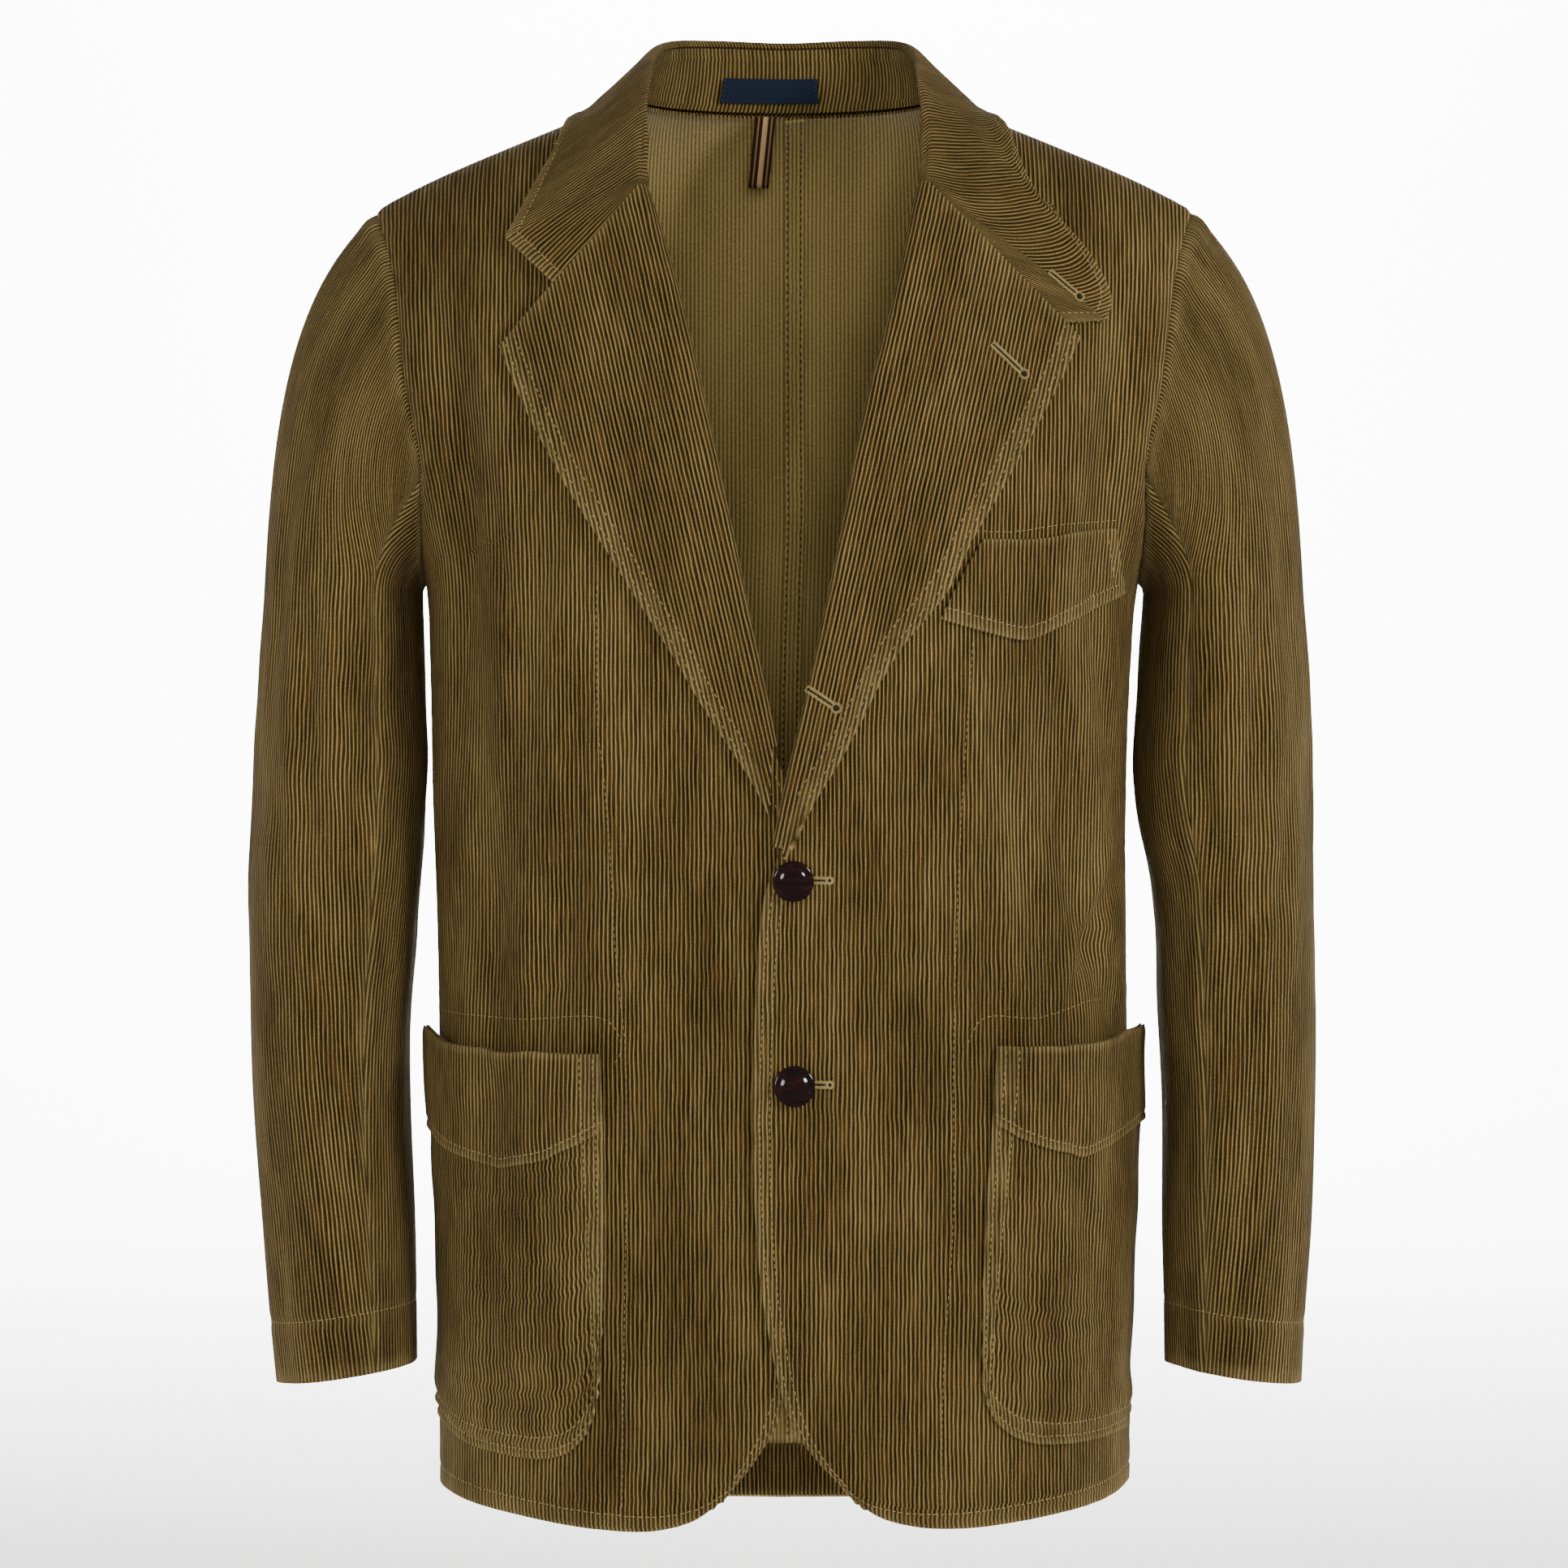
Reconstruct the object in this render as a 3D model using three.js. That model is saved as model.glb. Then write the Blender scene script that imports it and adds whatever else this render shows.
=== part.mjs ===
// A single-breasted corduroy jacket, filled out as if worn, with nobody inside.
// Millimetres. +Z up, the front faces -Y, and +X is the wearer's left.
// The origin is the middle of the neck at the height of the shoulders.
import * as THREE from 'three';

// Driving dimensions
const cloth = 1.5;
const foldedCloth = 1.8;
const seamGap = 0.3;
const sideRoundness = 2.6;
const hemSideZ = -749;
const hemBackZ = -778;
const underarmZ = -255;
const shoulderTip = { x: 226.5, z: -48.6 };
const neckPoint = { x: 85, z: 14 };
const backNeckZ = 13;
const shoulderSlope = 0.405;
const shoulderTipDrop = 5.3;
const frontShoulderCurve = 300;
const backCurve = { neck: 80, shoulder: 150, from: 60, to: 160 };
const buttonDiameter = 22;
const buttonThickness = 4;
const buttonSeat = 0.7;

// Rings of the body: half width, sideways shift, depth to the front and back, and middle
const bodySections = [
  { z: 60, half: 262, shift: 0, front: 125, back: 104, mid: 10 },
  { z: -48, half: 258, shift: 0, front: 128, back: 106, mid: 8 },
  { z: -120, half: 244, shift: 0, front: 130, back: 110, mid: 5 },
  { z: -180, half: 226, shift: 0, front: 130, back: 114, mid: 3 },
  { z: -220, half: 209, shift: 0, front: 129, back: 117, mid: 2 },
  { z: -255, half: 197, shift: -1, front: 128, back: 118, mid: 1 },
  { z: -300, half: 193.5, shift: -2, front: 126, back: 116, mid: 0 },
  { z: -370, half: 191.5, shift: -2.5, front: 121, back: 108, mid: 0 },
  { z: -450, half: 190, shift: -1, front: 114, back: 101, mid: 0 },
  { z: -560, half: 190.5, shift: 0, front: 116, back: 108, mid: 0 },
  { z: -680, half: 191, shift: 0.4, front: 119, back: 116, mid: 0 },
  { z: -780, half: 190.3, shift: 0.8, front: 120, back: 118, mid: 0 },
];

// Largest folds: middle, half length, half width, lean of the line and depth inwards
const folds = [
  { face: -1, x: -163, z: -400, length: 190, width: 13, lean: -0.06, depth: 4.5 },
  { face: -1, x: -140, z: -330, length: 110, width: 11, lean: 0.1, depth: 2.6 },
  { face: -1, x: -128, z: -480, length: 60, width: 13, lean: 0.25, depth: 2.4 },
  { face: -1, x: -70, z: -640, length: 110, width: 20, lean: -0.1, depth: 2.2 },
  { face: -1, x: 158, z: -420, length: 120, width: 14, lean: -0.22, depth: 4.2 },
  { face: -1, x: 128, z: -395, length: 90, width: 12, lean: -0.2, depth: 2.4 },
  { face: -1, x: 78, z: -620, length: 120, width: 18, lean: 0.08, depth: 2 },
  { face: -1, x: 176, z: -180, length: 90, width: 12, lean: 0.12, depth: 4 },
  { face: -1, x: -178, z: -170, length: 90, width: 12, lean: -0.12, depth: 4 },
  { face: 1, x: -60, z: -420, length: 160, width: 24, lean: 0.12, depth: 4.5 },
  { face: 1, x: 66, z: -450, length: 150, width: 22, lean: -0.1, depth: 4 },
  { face: 1, x: -150, z: -330, length: 120, width: 18, lean: -0.2, depth: 4 },
  { face: 1, x: 148, z: -300, length: 130, width: 18, lean: 0.2, depth: 4.4 },
  { face: 1, x: 110, z: -640, length: 110, width: 24, lean: 0.05, depth: 3 },
  { face: 1, x: -112, z: -660, length: 100, width: 24, lean: -0.06, depth: 3 },
];

// The armhole seam, as degrees round from the middle of the front or back
const frontArmhole = [
  { z: -48.6, turn: 61.4 },
  { z: -70, turn: 59.3 },
  { z: -90, turn: 58.6 },
  { z: -112, turn: 58.8 },
  { z: -144, turn: 60.2 },
  { z: -185, turn: 61.3 },
  { z: -200, turn: 63.7 },
  { z: -220, turn: 69.7 },
  { z: -238, turn: 76 },
  { z: -250, turn: 83 },
  { z: -255, turn: 90 },
];
const backArmhole = [
  { z: -48.6, turn: 61.4 },
  { z: -70, turn: 58.5 },
  { z: -90, turn: 57 },
  { z: -120, turn: 56.5 },
  { z: -150, turn: 58 },
  { z: -180, turn: 61 },
  { z: -205, turn: 66 },
  { z: -228, turn: 73 },
  { z: -245, turn: 81 },
  { z: -255, turn: 90 },
];

// Front edges from the neck down the roll line to the round hem corner
const frontEdges = {
  left: [
    { z: -43.4, x: 71.2 },
    { z: -103.8, x: 58.3 },
    { z: -165.9, x: 42.5 },
    { z: -226.7, x: 31 },
    { z: -288, x: 18.5 },
    { z: -333, x: 8.2 },
    { z: -374, x: -1.5 },
    { z: -407.8, x: -7.3 },
    { z: -445.5, x: -13 },
    { z: -511, x: -16.4 },
    { z: -555, x: -16.9 },
    { z: -603, x: -15.1 },
    { z: -642, x: -11.2 },
    { z: -692, x: -1.3 },
    { z: -713, x: 7.3 },
    { z: -728.6, x: 18.6 },
    { z: -747.6, x: 36.3 },
  ],
  right: [
    { z: -45, x: -72.7 },
    { z: -70.5, x: -64.7 },
    { z: -103.8, x: -55.4 },
    { z: -148.3, x: -45 },
    { z: -196, x: -34.6 },
    { z: -242.7, x: -24.8 },
    { z: -289, x: -15.2 },
    { z: -322.8, x: -7.4 },
    { z: -357, x: 0.4 },
    { z: -395, x: 10 },
    { z: -430, x: 16 },
    { z: -511, x: 17 },
    { z: -603, x: 16 },
    { z: -665, x: 9 },
    { z: -703.8, x: -2 },
    { z: -725, x: -13.4 },
    { z: -747.9, x: -31 },
  ],
};
const frontHems = {
  left: [
    { x: 36.3, z: -747.6 },
    { x: 49.7, z: -757.7 },
    { x: 68.7, z: -763.5 },
    { x: 88.3, z: -765 },
    { x: 117.6, z: -763.3 },
    { x: 147.4, z: -759.2 },
    { x: 174, z: -754.6 },
    { x: 191.1, z: -749 },
  ],
  right: [
    { x: -31, z: -747.9 },
    { x: -46.2, z: -759.6 },
    { x: -65.3, z: -765.5 },
    { x: -94.4, z: -765.3 },
    { x: -133.6, z: -760.7 },
    { x: -164, z: -755.7 },
    { x: -181.3, z: -751 },
    { x: -189.4, z: -749 },
  ],
};
const frontNecks = {
  left: [{ z: 14, x: 85 }, { z: 0, x: 82.4 }, { z: -20, x: 80 }, { z: -43.4, x: 77 }],
  right: [{ z: 14, x: -85 }, { z: 0, x: -82.4 }, { z: -20, x: -80.4 }, { z: -45, x: -78.6 }],
};

// Lapels: the free edge from the break up to the tip, and the notch where the collar starts
const lapelEdges = {
  left: [
    { x: 1.2, z: -406.5 },
    { x: 6, z: -398.3 },
    { x: 15.1, z: -378 },
    { x: 28.5, z: -355.6 },
    { x: 39.7, z: -334.9 },
    { x: 50.9, z: -312.4 },
    { x: 62, z: -294.5 },
    { x: 85.9, z: -265 },
    { x: 99, z: -238 },
    { x: 118.7, z: -204.3 },
    { x: 141, z: -164.4 },
    { x: 158.3, z: -127.1 },
  ],
  right: [
    { x: -7.8, z: -384 },
    { x: -16.4, z: -366.8 },
    { x: -29.8, z: -346.1 },
    { x: -44.4, z: -323.7 },
    { x: -58.2, z: -299.5 },
    { x: -80.7, z: -263.2 },
    { x: -107.3, z: -221.4 },
    { x: -132, z: -179.6 },
    { x: -141.9, z: -158.2 },
    { x: -152.9, z: -132.2 },
  ],
};
const lapelRollEnds = { left: -400, right: -347 };
const notches = { left: { x: 151.3, z: -119.6 }, right: { x: -123.3, z: -98.8 } };
const lapelCurl = { atBreak: 2.6, atNeck: 3.8 };
const lapelRise = 1.5;
const facetAllowance = 1;
const foldGap = 1.3;

// The collar from one end round the back to the other: top of the roll, foot of the stand,
// and the outer edge, with places on the front or back given without a depth
const collarSections = [
  { roll: [72.4, -75, -43], foot: [73, -74, -42], outer: { x: 151.6, z: -70.2 }, face: -1 },
  { roll: [73, -58, -20], foot: [74.3, -51.5, -20], outer: { x: 143.5, z: -54 }, face: -1 },
  { roll: [73, -38, 4], foot: [78.5, -31, 0], outer: { x: 136, z: -38.5 }, face: -1 },
  { roll: [71.3, -15, 25], foot: [82.7, -11, 10], outer: { x: 127, z: -21 }, face: -1 },
  { roll: [68.5, 9, 40], foot: [85, 10, 13.8], outer: { x: 117, z: 0 }, face: 0 },
  { roll: [60.5, 38, 50], foot: [74, 44, 13.5], outer: { x: 103, z: -7 }, face: 1 },
  { roll: [36, 61, 54], foot: [44, 67, 13.2], outer: { x: 60, z: 0 }, face: 1 },
  { roll: [0, 71, 54.5], foot: [0, 75.5, 13], outer: { x: 0, z: 2 }, face: 1 },
];
// The wearer's left end of the collar is longer and ends in a rounded throat tab
const leftCollarOuter = [
  { x: 177.6, z: -104 },
  { x: 167, z: -80.5 },
  { x: 155, z: -65 },
  { x: 138, z: -45 },
];
const leftCollarTab = { x: 174.5, z: -116.5 };
const collarRoll = { start: 4, width: 6.2, fall: 5, crest: 2.4, ease: 2 };
const gorgeGap = 0.7;
const neckMiddleY = 8;

// Sleeves: outermost and innermost x, middle and half depth of each ring
const sleeveSections = {
  left: [
    { z: -262, outer: 288.3, inner: 199, mid: 2, depth: 70 },
    { z: -315, outer: 292, inner: 194.6, mid: 2, depth: 68 },
    { z: -370, outer: 293.5, inner: 193, mid: 0, depth: 66 },
    { z: -427, outer: 293, inner: 203, mid: -4, depth: 63 },
    { z: -495, outer: 293.5, inner: 206, mid: -10, depth: 60 },
    { z: -540, outer: 293, inner: 208, mid: -15, depth: 58 },
    { z: -607, outer: 290.5, inner: 207.5, mid: -24, depth: 55 },
    { z: -650, outer: 286.5, inner: 208.3, mid: -30, depth: 53 },
    { z: -688, outer: 283.5, inner: 208.5, mid: -36, depth: 51 },
  ],
  right: [
    { z: -262, outer: 288.3, inner: 200, mid: 2, depth: 70 },
    { z: -315, outer: 292, inner: 197.5, mid: 2, depth: 68 },
    { z: -370, outer: 294.5, inner: 196, mid: 0, depth: 66 },
    { z: -427, outer: 296, inner: 199.5, mid: -4, depth: 63 },
    { z: -495, outer: 295, inner: 205, mid: -10, depth: 60 },
    { z: -540, outer: 293, inner: 205.5, mid: -15, depth: 58 },
    { z: -607, outer: 286.5, inner: 203, mid: -24, depth: 55 },
    { z: -650, outer: 282, inner: 202, mid: -30, depth: 53 },
    { z: -688, outer: 277.5, inner: 201, mid: -36, depth: 51 },
  ],
};
const sleeveRings = [-262, -290, -325, -360, -395, -430, -465, -500, -540, -580, -620, -655, -688];
const cuffSlant = 5.5;
const sleeveSeams = { front: 8, back: 16 };
const sleeveFolds = [
  { turn: 0.12, z: -250, length: 110, width: 0.035, lean: 0.0002, depth: 4.5 },
  { turn: 0.2, z: -330, length: 130, width: 0.03, lean: -0.0002, depth: 3.6 },
  { turn: 0.27, z: -450, length: 90, width: 0.035, lean: 0.0003, depth: 3.2 },
  { turn: 0.78, z: -400, length: 120, width: 0.04, lean: 0.0002, depth: 4 },
  { turn: 0.88, z: -280, length: 110, width: 0.035, lean: -0.0002, depth: 3.6 },
];

// Patch pockets: the inner edge, bottom and mouth, with the turned-down cuff on each
const pockets = {
  left: {
    inner: [
      { x: 113, z: -507.5 },
      { x: 109.7, z: -553.7 },
      { x: 106, z: -600 },
      { x: 104.6, z: -660 },
      { x: 105.5, z: -690 },
    ],
    bottom: [
      { x: 105.5, z: -690 },
      { x: 110.5, z: -704 },
      { x: 119.7, z: -714 },
      { x: 133.4, z: -720.5 },
      { x: 149.5, z: -722 },
      { x: 168, z: -721.3 },
      { x: 188, z: -718 },
    ],
    mouth: [
      { x: 113, z: -507.5 },
      { x: 135, z: -508 },
      { x: 155, z: -507.5 },
      { x: 175, z: -504 },
      { x: 189, z: -499 },
    ],
    cuffInner: -555,
    cuffPoint: { share: 0.6, z: -567 },
    cuffOuter: -558,
  },
  right: {
    inner: [
      { x: -98.2, z: -511.5 },
      { x: -97, z: -557 },
      { x: -96.6, z: -603.6 },
      { x: -97.2, z: -660 },
      { x: -99.5, z: -694 },
    ],
    bottom: [
      { x: -99.5, z: -694 },
      { x: -104, z: -712 },
      { x: -114, z: -724 },
      { x: -126, z: -728.4 },
      { x: -148, z: -728.1 },
      { x: -172, z: -723 },
      { x: -187.5, z: -712 },
    ],
    mouth: [
      { x: -98.2, z: -511.5 },
      { x: -133.5, z: -511 },
      { x: -156, z: -510 },
      { x: -180, z: -506 },
      { x: -188.3, z: -499 },
    ],
    cuffInner: -557,
    cuffPoint: { share: 0.6, z: -570.5 },
    cuffOuter: -564,
  },
};
const pocketStandOff = { mouth: 9, side: 5.5, seam: 0.35 };

const chestFlap = {
  top: [
    { x: 105.5, z: -236.5 },
    { x: 137.7, z: -235.6 },
    { x: 156, z: -231.7 },
    { x: 179.3, z: -228.6 },
  ],
  bottom: [
    { x: 82.5, z: -279.5 },
    { x: 106.4, z: -286 },
    { x: 130.6, z: -290 },
    { x: 147.1, z: -282.3 },
    { x: 165.3, z: -273.6 },
    { x: 181.9, z: -263.7 },
  ],
};

const buttons = [
  { name: 'button_top', x: 5, z: -419 },
  { name: 'button_bottom', x: 5.6, z: -528.3 },
];
const overlapLift = { height: 2.2, full: 22, gone: 70, below: -335, above: -290 };

const neckLabel = { from: -1.5, to: 0.85, low: 0.14, high: 0.52, thickness: 0.8 };
const hangerLoop = { x: -10.5, width: 11.5, top: 11, drop: 40, gap: 5.4, thickness: 1.3, lean: 0.1, clear: 3.8 };

// Small tools
const lerp = THREE.MathUtils.lerp;
const rad = THREE.MathUtils.degToRad;
const smooth = THREE.MathUtils.smoothstep;

// A smooth curve through a table: the value of one column at a place along another
function along(rows, place, column, at) {
  const up = rows[0][place] < rows[rows.length - 1][place];
  const sorted = up ? rows : [...rows].reverse();
  const last = sorted.length - 1;
  if (at <= sorted[0][place]) return sorted[0][column];
  if (at >= sorted[last][place]) return sorted[last][column];
  let i = 0;
  while (sorted[i + 1][place] < at) i++;
  const slope = (k) => {
    const a = Math.max(k - 1, 0);
    const b = Math.min(k + 1, last);
    return (sorted[b][column] - sorted[a][column]) / (sorted[b][place] - sorted[a][place]);
  };
  const step = sorted[i + 1][place] - sorted[i][place];
  const t = (at - sorted[i][place]) / step;
  const rise = sorted[i + 1][column] - sorted[i][column];
  const a = slope(i) * step - rise;
  const b = rise - slope(i + 1) * step;
  return sorted[i][column] + t * rise + t * (1 - t) * (a * (1 - t) + b * t);
}

// A smooth route through places, run at even speed from 0 to 1
function route(places) {
  const curve = new THREE.CatmullRomCurve3(
    places.map((p) => new THREE.Vector3(p.x, p.y ?? 0, p.z)),
    false,
    'centripetal',
  );
  return (t) => curve.getPointAt(THREE.MathUtils.clamp(t, 0, 1));
}

const steps = (count) => Array.from({ length: count + 1 }, (_, i) => i / count);

// The form that the body cloth follows
function shoulderZ(x) {
  const out = Math.abs(x) - neckPoint.x;
  if (out < 0) return neckPoint.z - (shoulderSlope * out * (Math.abs(x) + neckPoint.x)) / (2 * neckPoint.x);
  return neckPoint.z - shoulderSlope * out - shoulderTipDrop * (out / (shoulderTip.x - neckPoint.x)) ** 6;
}

// How far below the shoulder line the front or back reaches its full depth
function fullDepthDrop(face, x) {
  if (face < 0) return frontShoulderCurve;
  return lerp(backCurve.neck, backCurve.shoulder, smooth(Math.abs(x), backCurve.from, backCurve.to));
}

function formPoint(face, x, z) {
  const half = along(bodySections, 'z', 'half', z);
  const shift = along(bodySections, 'z', 'shift', z);
  const depth = along(bodySections, 'z', face < 0 ? 'front' : 'back', z);
  const mid = along(bodySections, 'z', 'mid', z);
  const across = Math.min(Math.abs((x - shift) / half), 1);
  const curve = fullDepthDrop(face, x);
  const below = Math.max(shoulderZ(x) - z, 0);
  const toFull = 1 - Math.min(below / curve, 1);
  const drop = Math.sqrt(1 - toFull * toFull);
  const round = (1 - across ** sideRoundness) ** (1 / sideRoundness);
  return new THREE.Vector3(x, mid + face * depth * drop * round, z);
}

function turnOf(x, z) {
  const across = (x - along(bodySections, 'z', 'shift', z)) / along(bodySections, 'z', 'half', z);
  return Math.asin(THREE.MathUtils.clamp(across, -1, 1));
}

function foldDepth(face, x, z) {
  let depth = 0;
  for (const fold of folds) {
    if (fold.face !== face) continue;
    const off = (x - fold.x - fold.lean * (z - fold.z)) / fold.width;
    const run = (z - fold.z) / fold.length;
    depth += fold.depth * (Math.exp(-off * off) - 0.35 * Math.exp(-off * off / 6)) * Math.exp(-run * run);
  }
  return depth;
}

// A point of the body cloth's outer face, given how far round it is and its height
function bodyPoint(face, turn, z) {
  const half = along(bodySections, 'z', 'half', z);
  const x = along(bodySections, 'z', 'shift', z) + half * Math.sin(turn);
  const point = formPoint(face, x, z);
  const inward = new THREE.Vector3(-Math.sin(turn), -face * Math.cos(turn), 0);
  const fade = smooth(Math.abs(Math.cos(turn)), 0, 0.25) * smooth(shoulderZ(x) - z, 10, 60);
  return point.addScaledVector(inward, foldDepth(face, x, z) * fade);
}

// A four-sided patch between edges given as [turn, z] functions
function patch(bottom, top, start, end) {
  return (u, v) => {
    const pick = (k) => {
      const corners =
        (1 - v) * lerp(bottom(0)[k], bottom(1)[k], u) + v * lerp(top(0)[k], top(1)[k], u);
      return (1 - v) * bottom(u)[k] + v * top(u)[k] + lerp(start(v)[k], end(v)[k], u) - corners;
    };
    return [pick(0), pick(1)];
  };
}

const onTurns = (place) => [turnOf(place.x, place.z), place.z];
const turnRoute = (places) => {
  const curve = route(places);
  return (t) => onTurns(curve(t));
};

function gridOf(us, vs, point) {
  return vs.map((v) => us.map((u) => point(u, v)));
}

// Outward directions of a grid of points
function normalsOf(grid, outward) {
  const rows = grid.length - 1;
  const columns = grid[0].length - 1;
  return grid.map((row, j) =>
    row.map((point, i) => {
      const across = grid[j][Math.min(i + 1, columns)].clone().sub(grid[j][Math.max(i - 1, 0)]);
      const up = grid[Math.min(j + 1, rows)][i].clone().sub(grid[Math.max(j - 1, 0)][i]);
      const normal = across.cross(up).normalize();
      if (outward < 0) normal.negate();
      return normal;
    }),
  );
}

// Draws the rim of a grid in by half a seam gap
function trimmed(grid) {
  const rows = grid.length - 1;
  const columns = grid[0].length - 1;
  const pull = (point, towards) => {
    const way = towards.clone().sub(point);
    return point.clone().addScaledVector(way.normalize(), seamGap / 2);
  };
  const sides = grid.map((row) =>
    row.map((p, i) => (i === 0 ? pull(p, row[1]) : i === columns ? pull(p, row[columns - 1]) : p)),
  );
  return sides.map((row, j) =>
    row.map((p, i) => {
      if (j === 0) return pull(p, sides[1][i]);
      return j === rows ? pull(p, sides[rows - 1][i]) : p;
    }),
  );
}

// A closed wall between an outer grid and the same grid moved in by its thickness
function wall(outer, normals, thickness) {
  const rows = outer.length;
  const columns = outer[0].length;
  const positions = [];
  for (const depth of [0, thickness]) {
    outer.forEach((row, j) =>
      row.forEach((p, i) => {
        const q = p.clone().addScaledVector(normals[j][i], -depth);
        positions.push(q.x, q.y, q.z);
      }),
    );
  }
  const at = (layer, j, i) => layer * rows * columns + j * columns + i;
  const index = [];
  const quad = (a, b, c, d) => index.push(a, b, c, a, c, d);
  for (let j = 0; j < rows - 1; j++) {
    for (let i = 0; i < columns - 1; i++) {
      quad(at(0, j, i), at(0, j, i + 1), at(0, j + 1, i + 1), at(0, j + 1, i));
      quad(at(1, j, i), at(1, j + 1, i), at(1, j + 1, i + 1), at(1, j, i + 1));
    }
  }
  for (let i = 0; i < columns - 1; i++) {
    quad(at(0, 0, i + 1), at(0, 0, i), at(1, 0, i), at(1, 0, i + 1));
    quad(at(0, rows - 1, i), at(0, rows - 1, i + 1), at(1, rows - 1, i + 1), at(1, rows - 1, i));
  }
  for (let j = 0; j < rows - 1; j++) {
    quad(at(0, j, 0), at(0, j + 1, 0), at(1, j + 1, 0), at(1, j, 0));
    quad(at(0, j + 1, columns - 1), at(0, j, columns - 1), at(1, j, columns - 1), at(1, j + 1, columns - 1));
  }
  return closedGeometry(positions, index);
}

// A geometry from points and triangles, turned the right way out
function closedGeometry(positions, index) {
  let volume = 0;
  const corner = (k) => new THREE.Vector3().fromArray(positions, index[k] * 3);
  for (let k = 0; k < index.length; k += 3) {
    volume += corner(k).dot(corner(k + 1).cross(corner(k + 2)));
  }
  if (volume < 0) index.reverse();
  const geometry = new THREE.BufferGeometry();
  geometry.setAttribute('position', new THREE.Float32BufferAttribute(positions, 3));
  geometry.setIndex(index);
  return geometry;
}

// Materials
const corduroy = { color: 0x6b5530, roughness: 0.95, metalness: 0 };
const materials = {
  corduroy: () => new THREE.MeshStandardMaterial(corduroy),
  navyLabel: () => new THREE.MeshStandardMaterial({ color: 0x171c26, roughness: 0.7, metalness: 0 }),
  loopTape: () => new THREE.MeshStandardMaterial({ color: 0x3a2a1c, roughness: 0.8, metalness: 0 }),
  horn: () => new THREE.MeshStandardMaterial({ color: 0x1c120c, roughness: 0.15, metalness: 0 }),
};

const jacket = new THREE.Group();

function add(name, geometry, material) {
  const mesh = new THREE.Mesh(geometry, material());
  mesh.name = name;
  jacket.add(mesh);
  return mesh;
}

// Heights of the rows of a body panel, closer together over the shoulder
const rowDrops = [
  0, 1, 3.5, 8, 14, 22, 32, 45, 62, 82, 105, 130, 153, 173, 190, 201, 206.4, 226, 252, 285, 310,
  332, 356, 380.7, 408, 440, 480, 520, 560, 600, 640, 672, 700.4,
];
const panelHeight = shoulderTip.z - hemSideZ;
const panelRows = rowDrops.map((drop) => 1 - drop / panelHeight).reverse();
const frontColumns = 10;
const shoulderColumns = 8;
const neckColumns = 3;
const neckShare = 0.3;
const backColumns = [
  ...steps(neckColumns).slice(0, -1).map((t) => t * neckShare),
  ...steps(shoulderColumns).map((t) => neckShare + t * (1 - neckShare)),
];

function outerEdge(face, side) {
  const armhole = face < 0 ? frontArmhole : backArmhole;
  return (v) => {
    const z = lerp(hemSideZ, shoulderTip.z, v);
    const turn = z <= underarmZ ? 90 : along(armhole, 'z', 'turn', z);
    return [side * rad(turn), z];
  };
}

function shoulderSeam(side) {
  return (t) => {
    const x = side * lerp(neckPoint.x, shoulderTip.x, t);
    return [turnOf(x, shoulderZ(x)), shoulderZ(x)];
  };
}

function backTop(neck, side) {
  const seam = shoulderSeam(side);
  return (u) => (u < neckShare ? neck(u / neckShare) : seam((u - neckShare) / (1 - neckShare)));
}

// Seams where two panels meet keep their wall square to the seam
function squareAtSeams(normals, grid, face) {
  const top = grid.length - 1;
  const end = grid[0].length - 1;
  normals.forEach((row, j) =>
    row.forEach((normal, i) => {
      const onShoulder = j === top && (face < 0 || i >= neckColumns);
      const onSide = i === end && grid[j][i].z <= underarmZ + 1;
      if (onShoulder || onSide) normal.setY(0).normalize();
      if (face > 0 && i === 0) normal.setX(0).normalize();
    }),
  );
  return normals;
}

// Radius of the turned lapel, which grows from the break to the neck
function curlRadius(key, z) {
  const share = (z - lapelRollEnds[key]) / (frontEdges[key][0].z - lapelRollEnds[key]);
  return lerp(lapelCurl.atBreak, lapelCurl.atNeck, THREE.MathUtils.clamp(share, 0, 1));
}

// The panel stops short of the fold that shows, by the radius of the turned cloth
function panelEdge(side, key, z) {
  if (z > frontEdges[key][0].z) return along(frontNecks[key], 'z', 'x', z);
  const end = lapelRollEnds[key];
  const set = (foldGap + curlRadius(key, z)) * smooth(z, end - 30, end);
  return along(frontEdges[key], 'z', 'x', z) + side * set;
}

function frontPanel(side, key) {
  const edge = frontEdges[key];
  const low = edge[edge.length - 1].z;
  const start = (v) => {
    const z = lerp(low, neckPoint.z, v);
    return onTurns({ x: panelEdge(side, key, z), z });
  };
  const shape = patch(
    turnRoute(frontHems[key]),
    shoulderSeam(side),
    start,
    outerEdge(-1, side),
  );
  const grid = gridOf(steps(frontColumns), panelRows, (u, v) => {
    const [turn, z] = shape(u, v);
    return bodyPoint(-1, turn, z);
  });
  const normals = squareAtSeams(normalsOf(grid, side), grid, -1);
  if (side > 0) liftOverlap(grid, normals);
  add(`front_${key}`, wall(trimmed(grid), normals, cloth), materials.corduroy);
}

// The wearer's left front lies on the right one where they button
function overlapHeight(x, z) {
  const across = 1 - smooth(x, overlapLift.full, overlapLift.gone);
  return overlapLift.height * across * (1 - smooth(z, overlapLift.below, overlapLift.above));
}

function liftOverlap(grid, normals) {
  grid.forEach((row, j) =>
    row.forEach((p, i) => p.addScaledVector(normals[j][i], overlapHeight(p.x, p.z))),
  );
}

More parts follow.
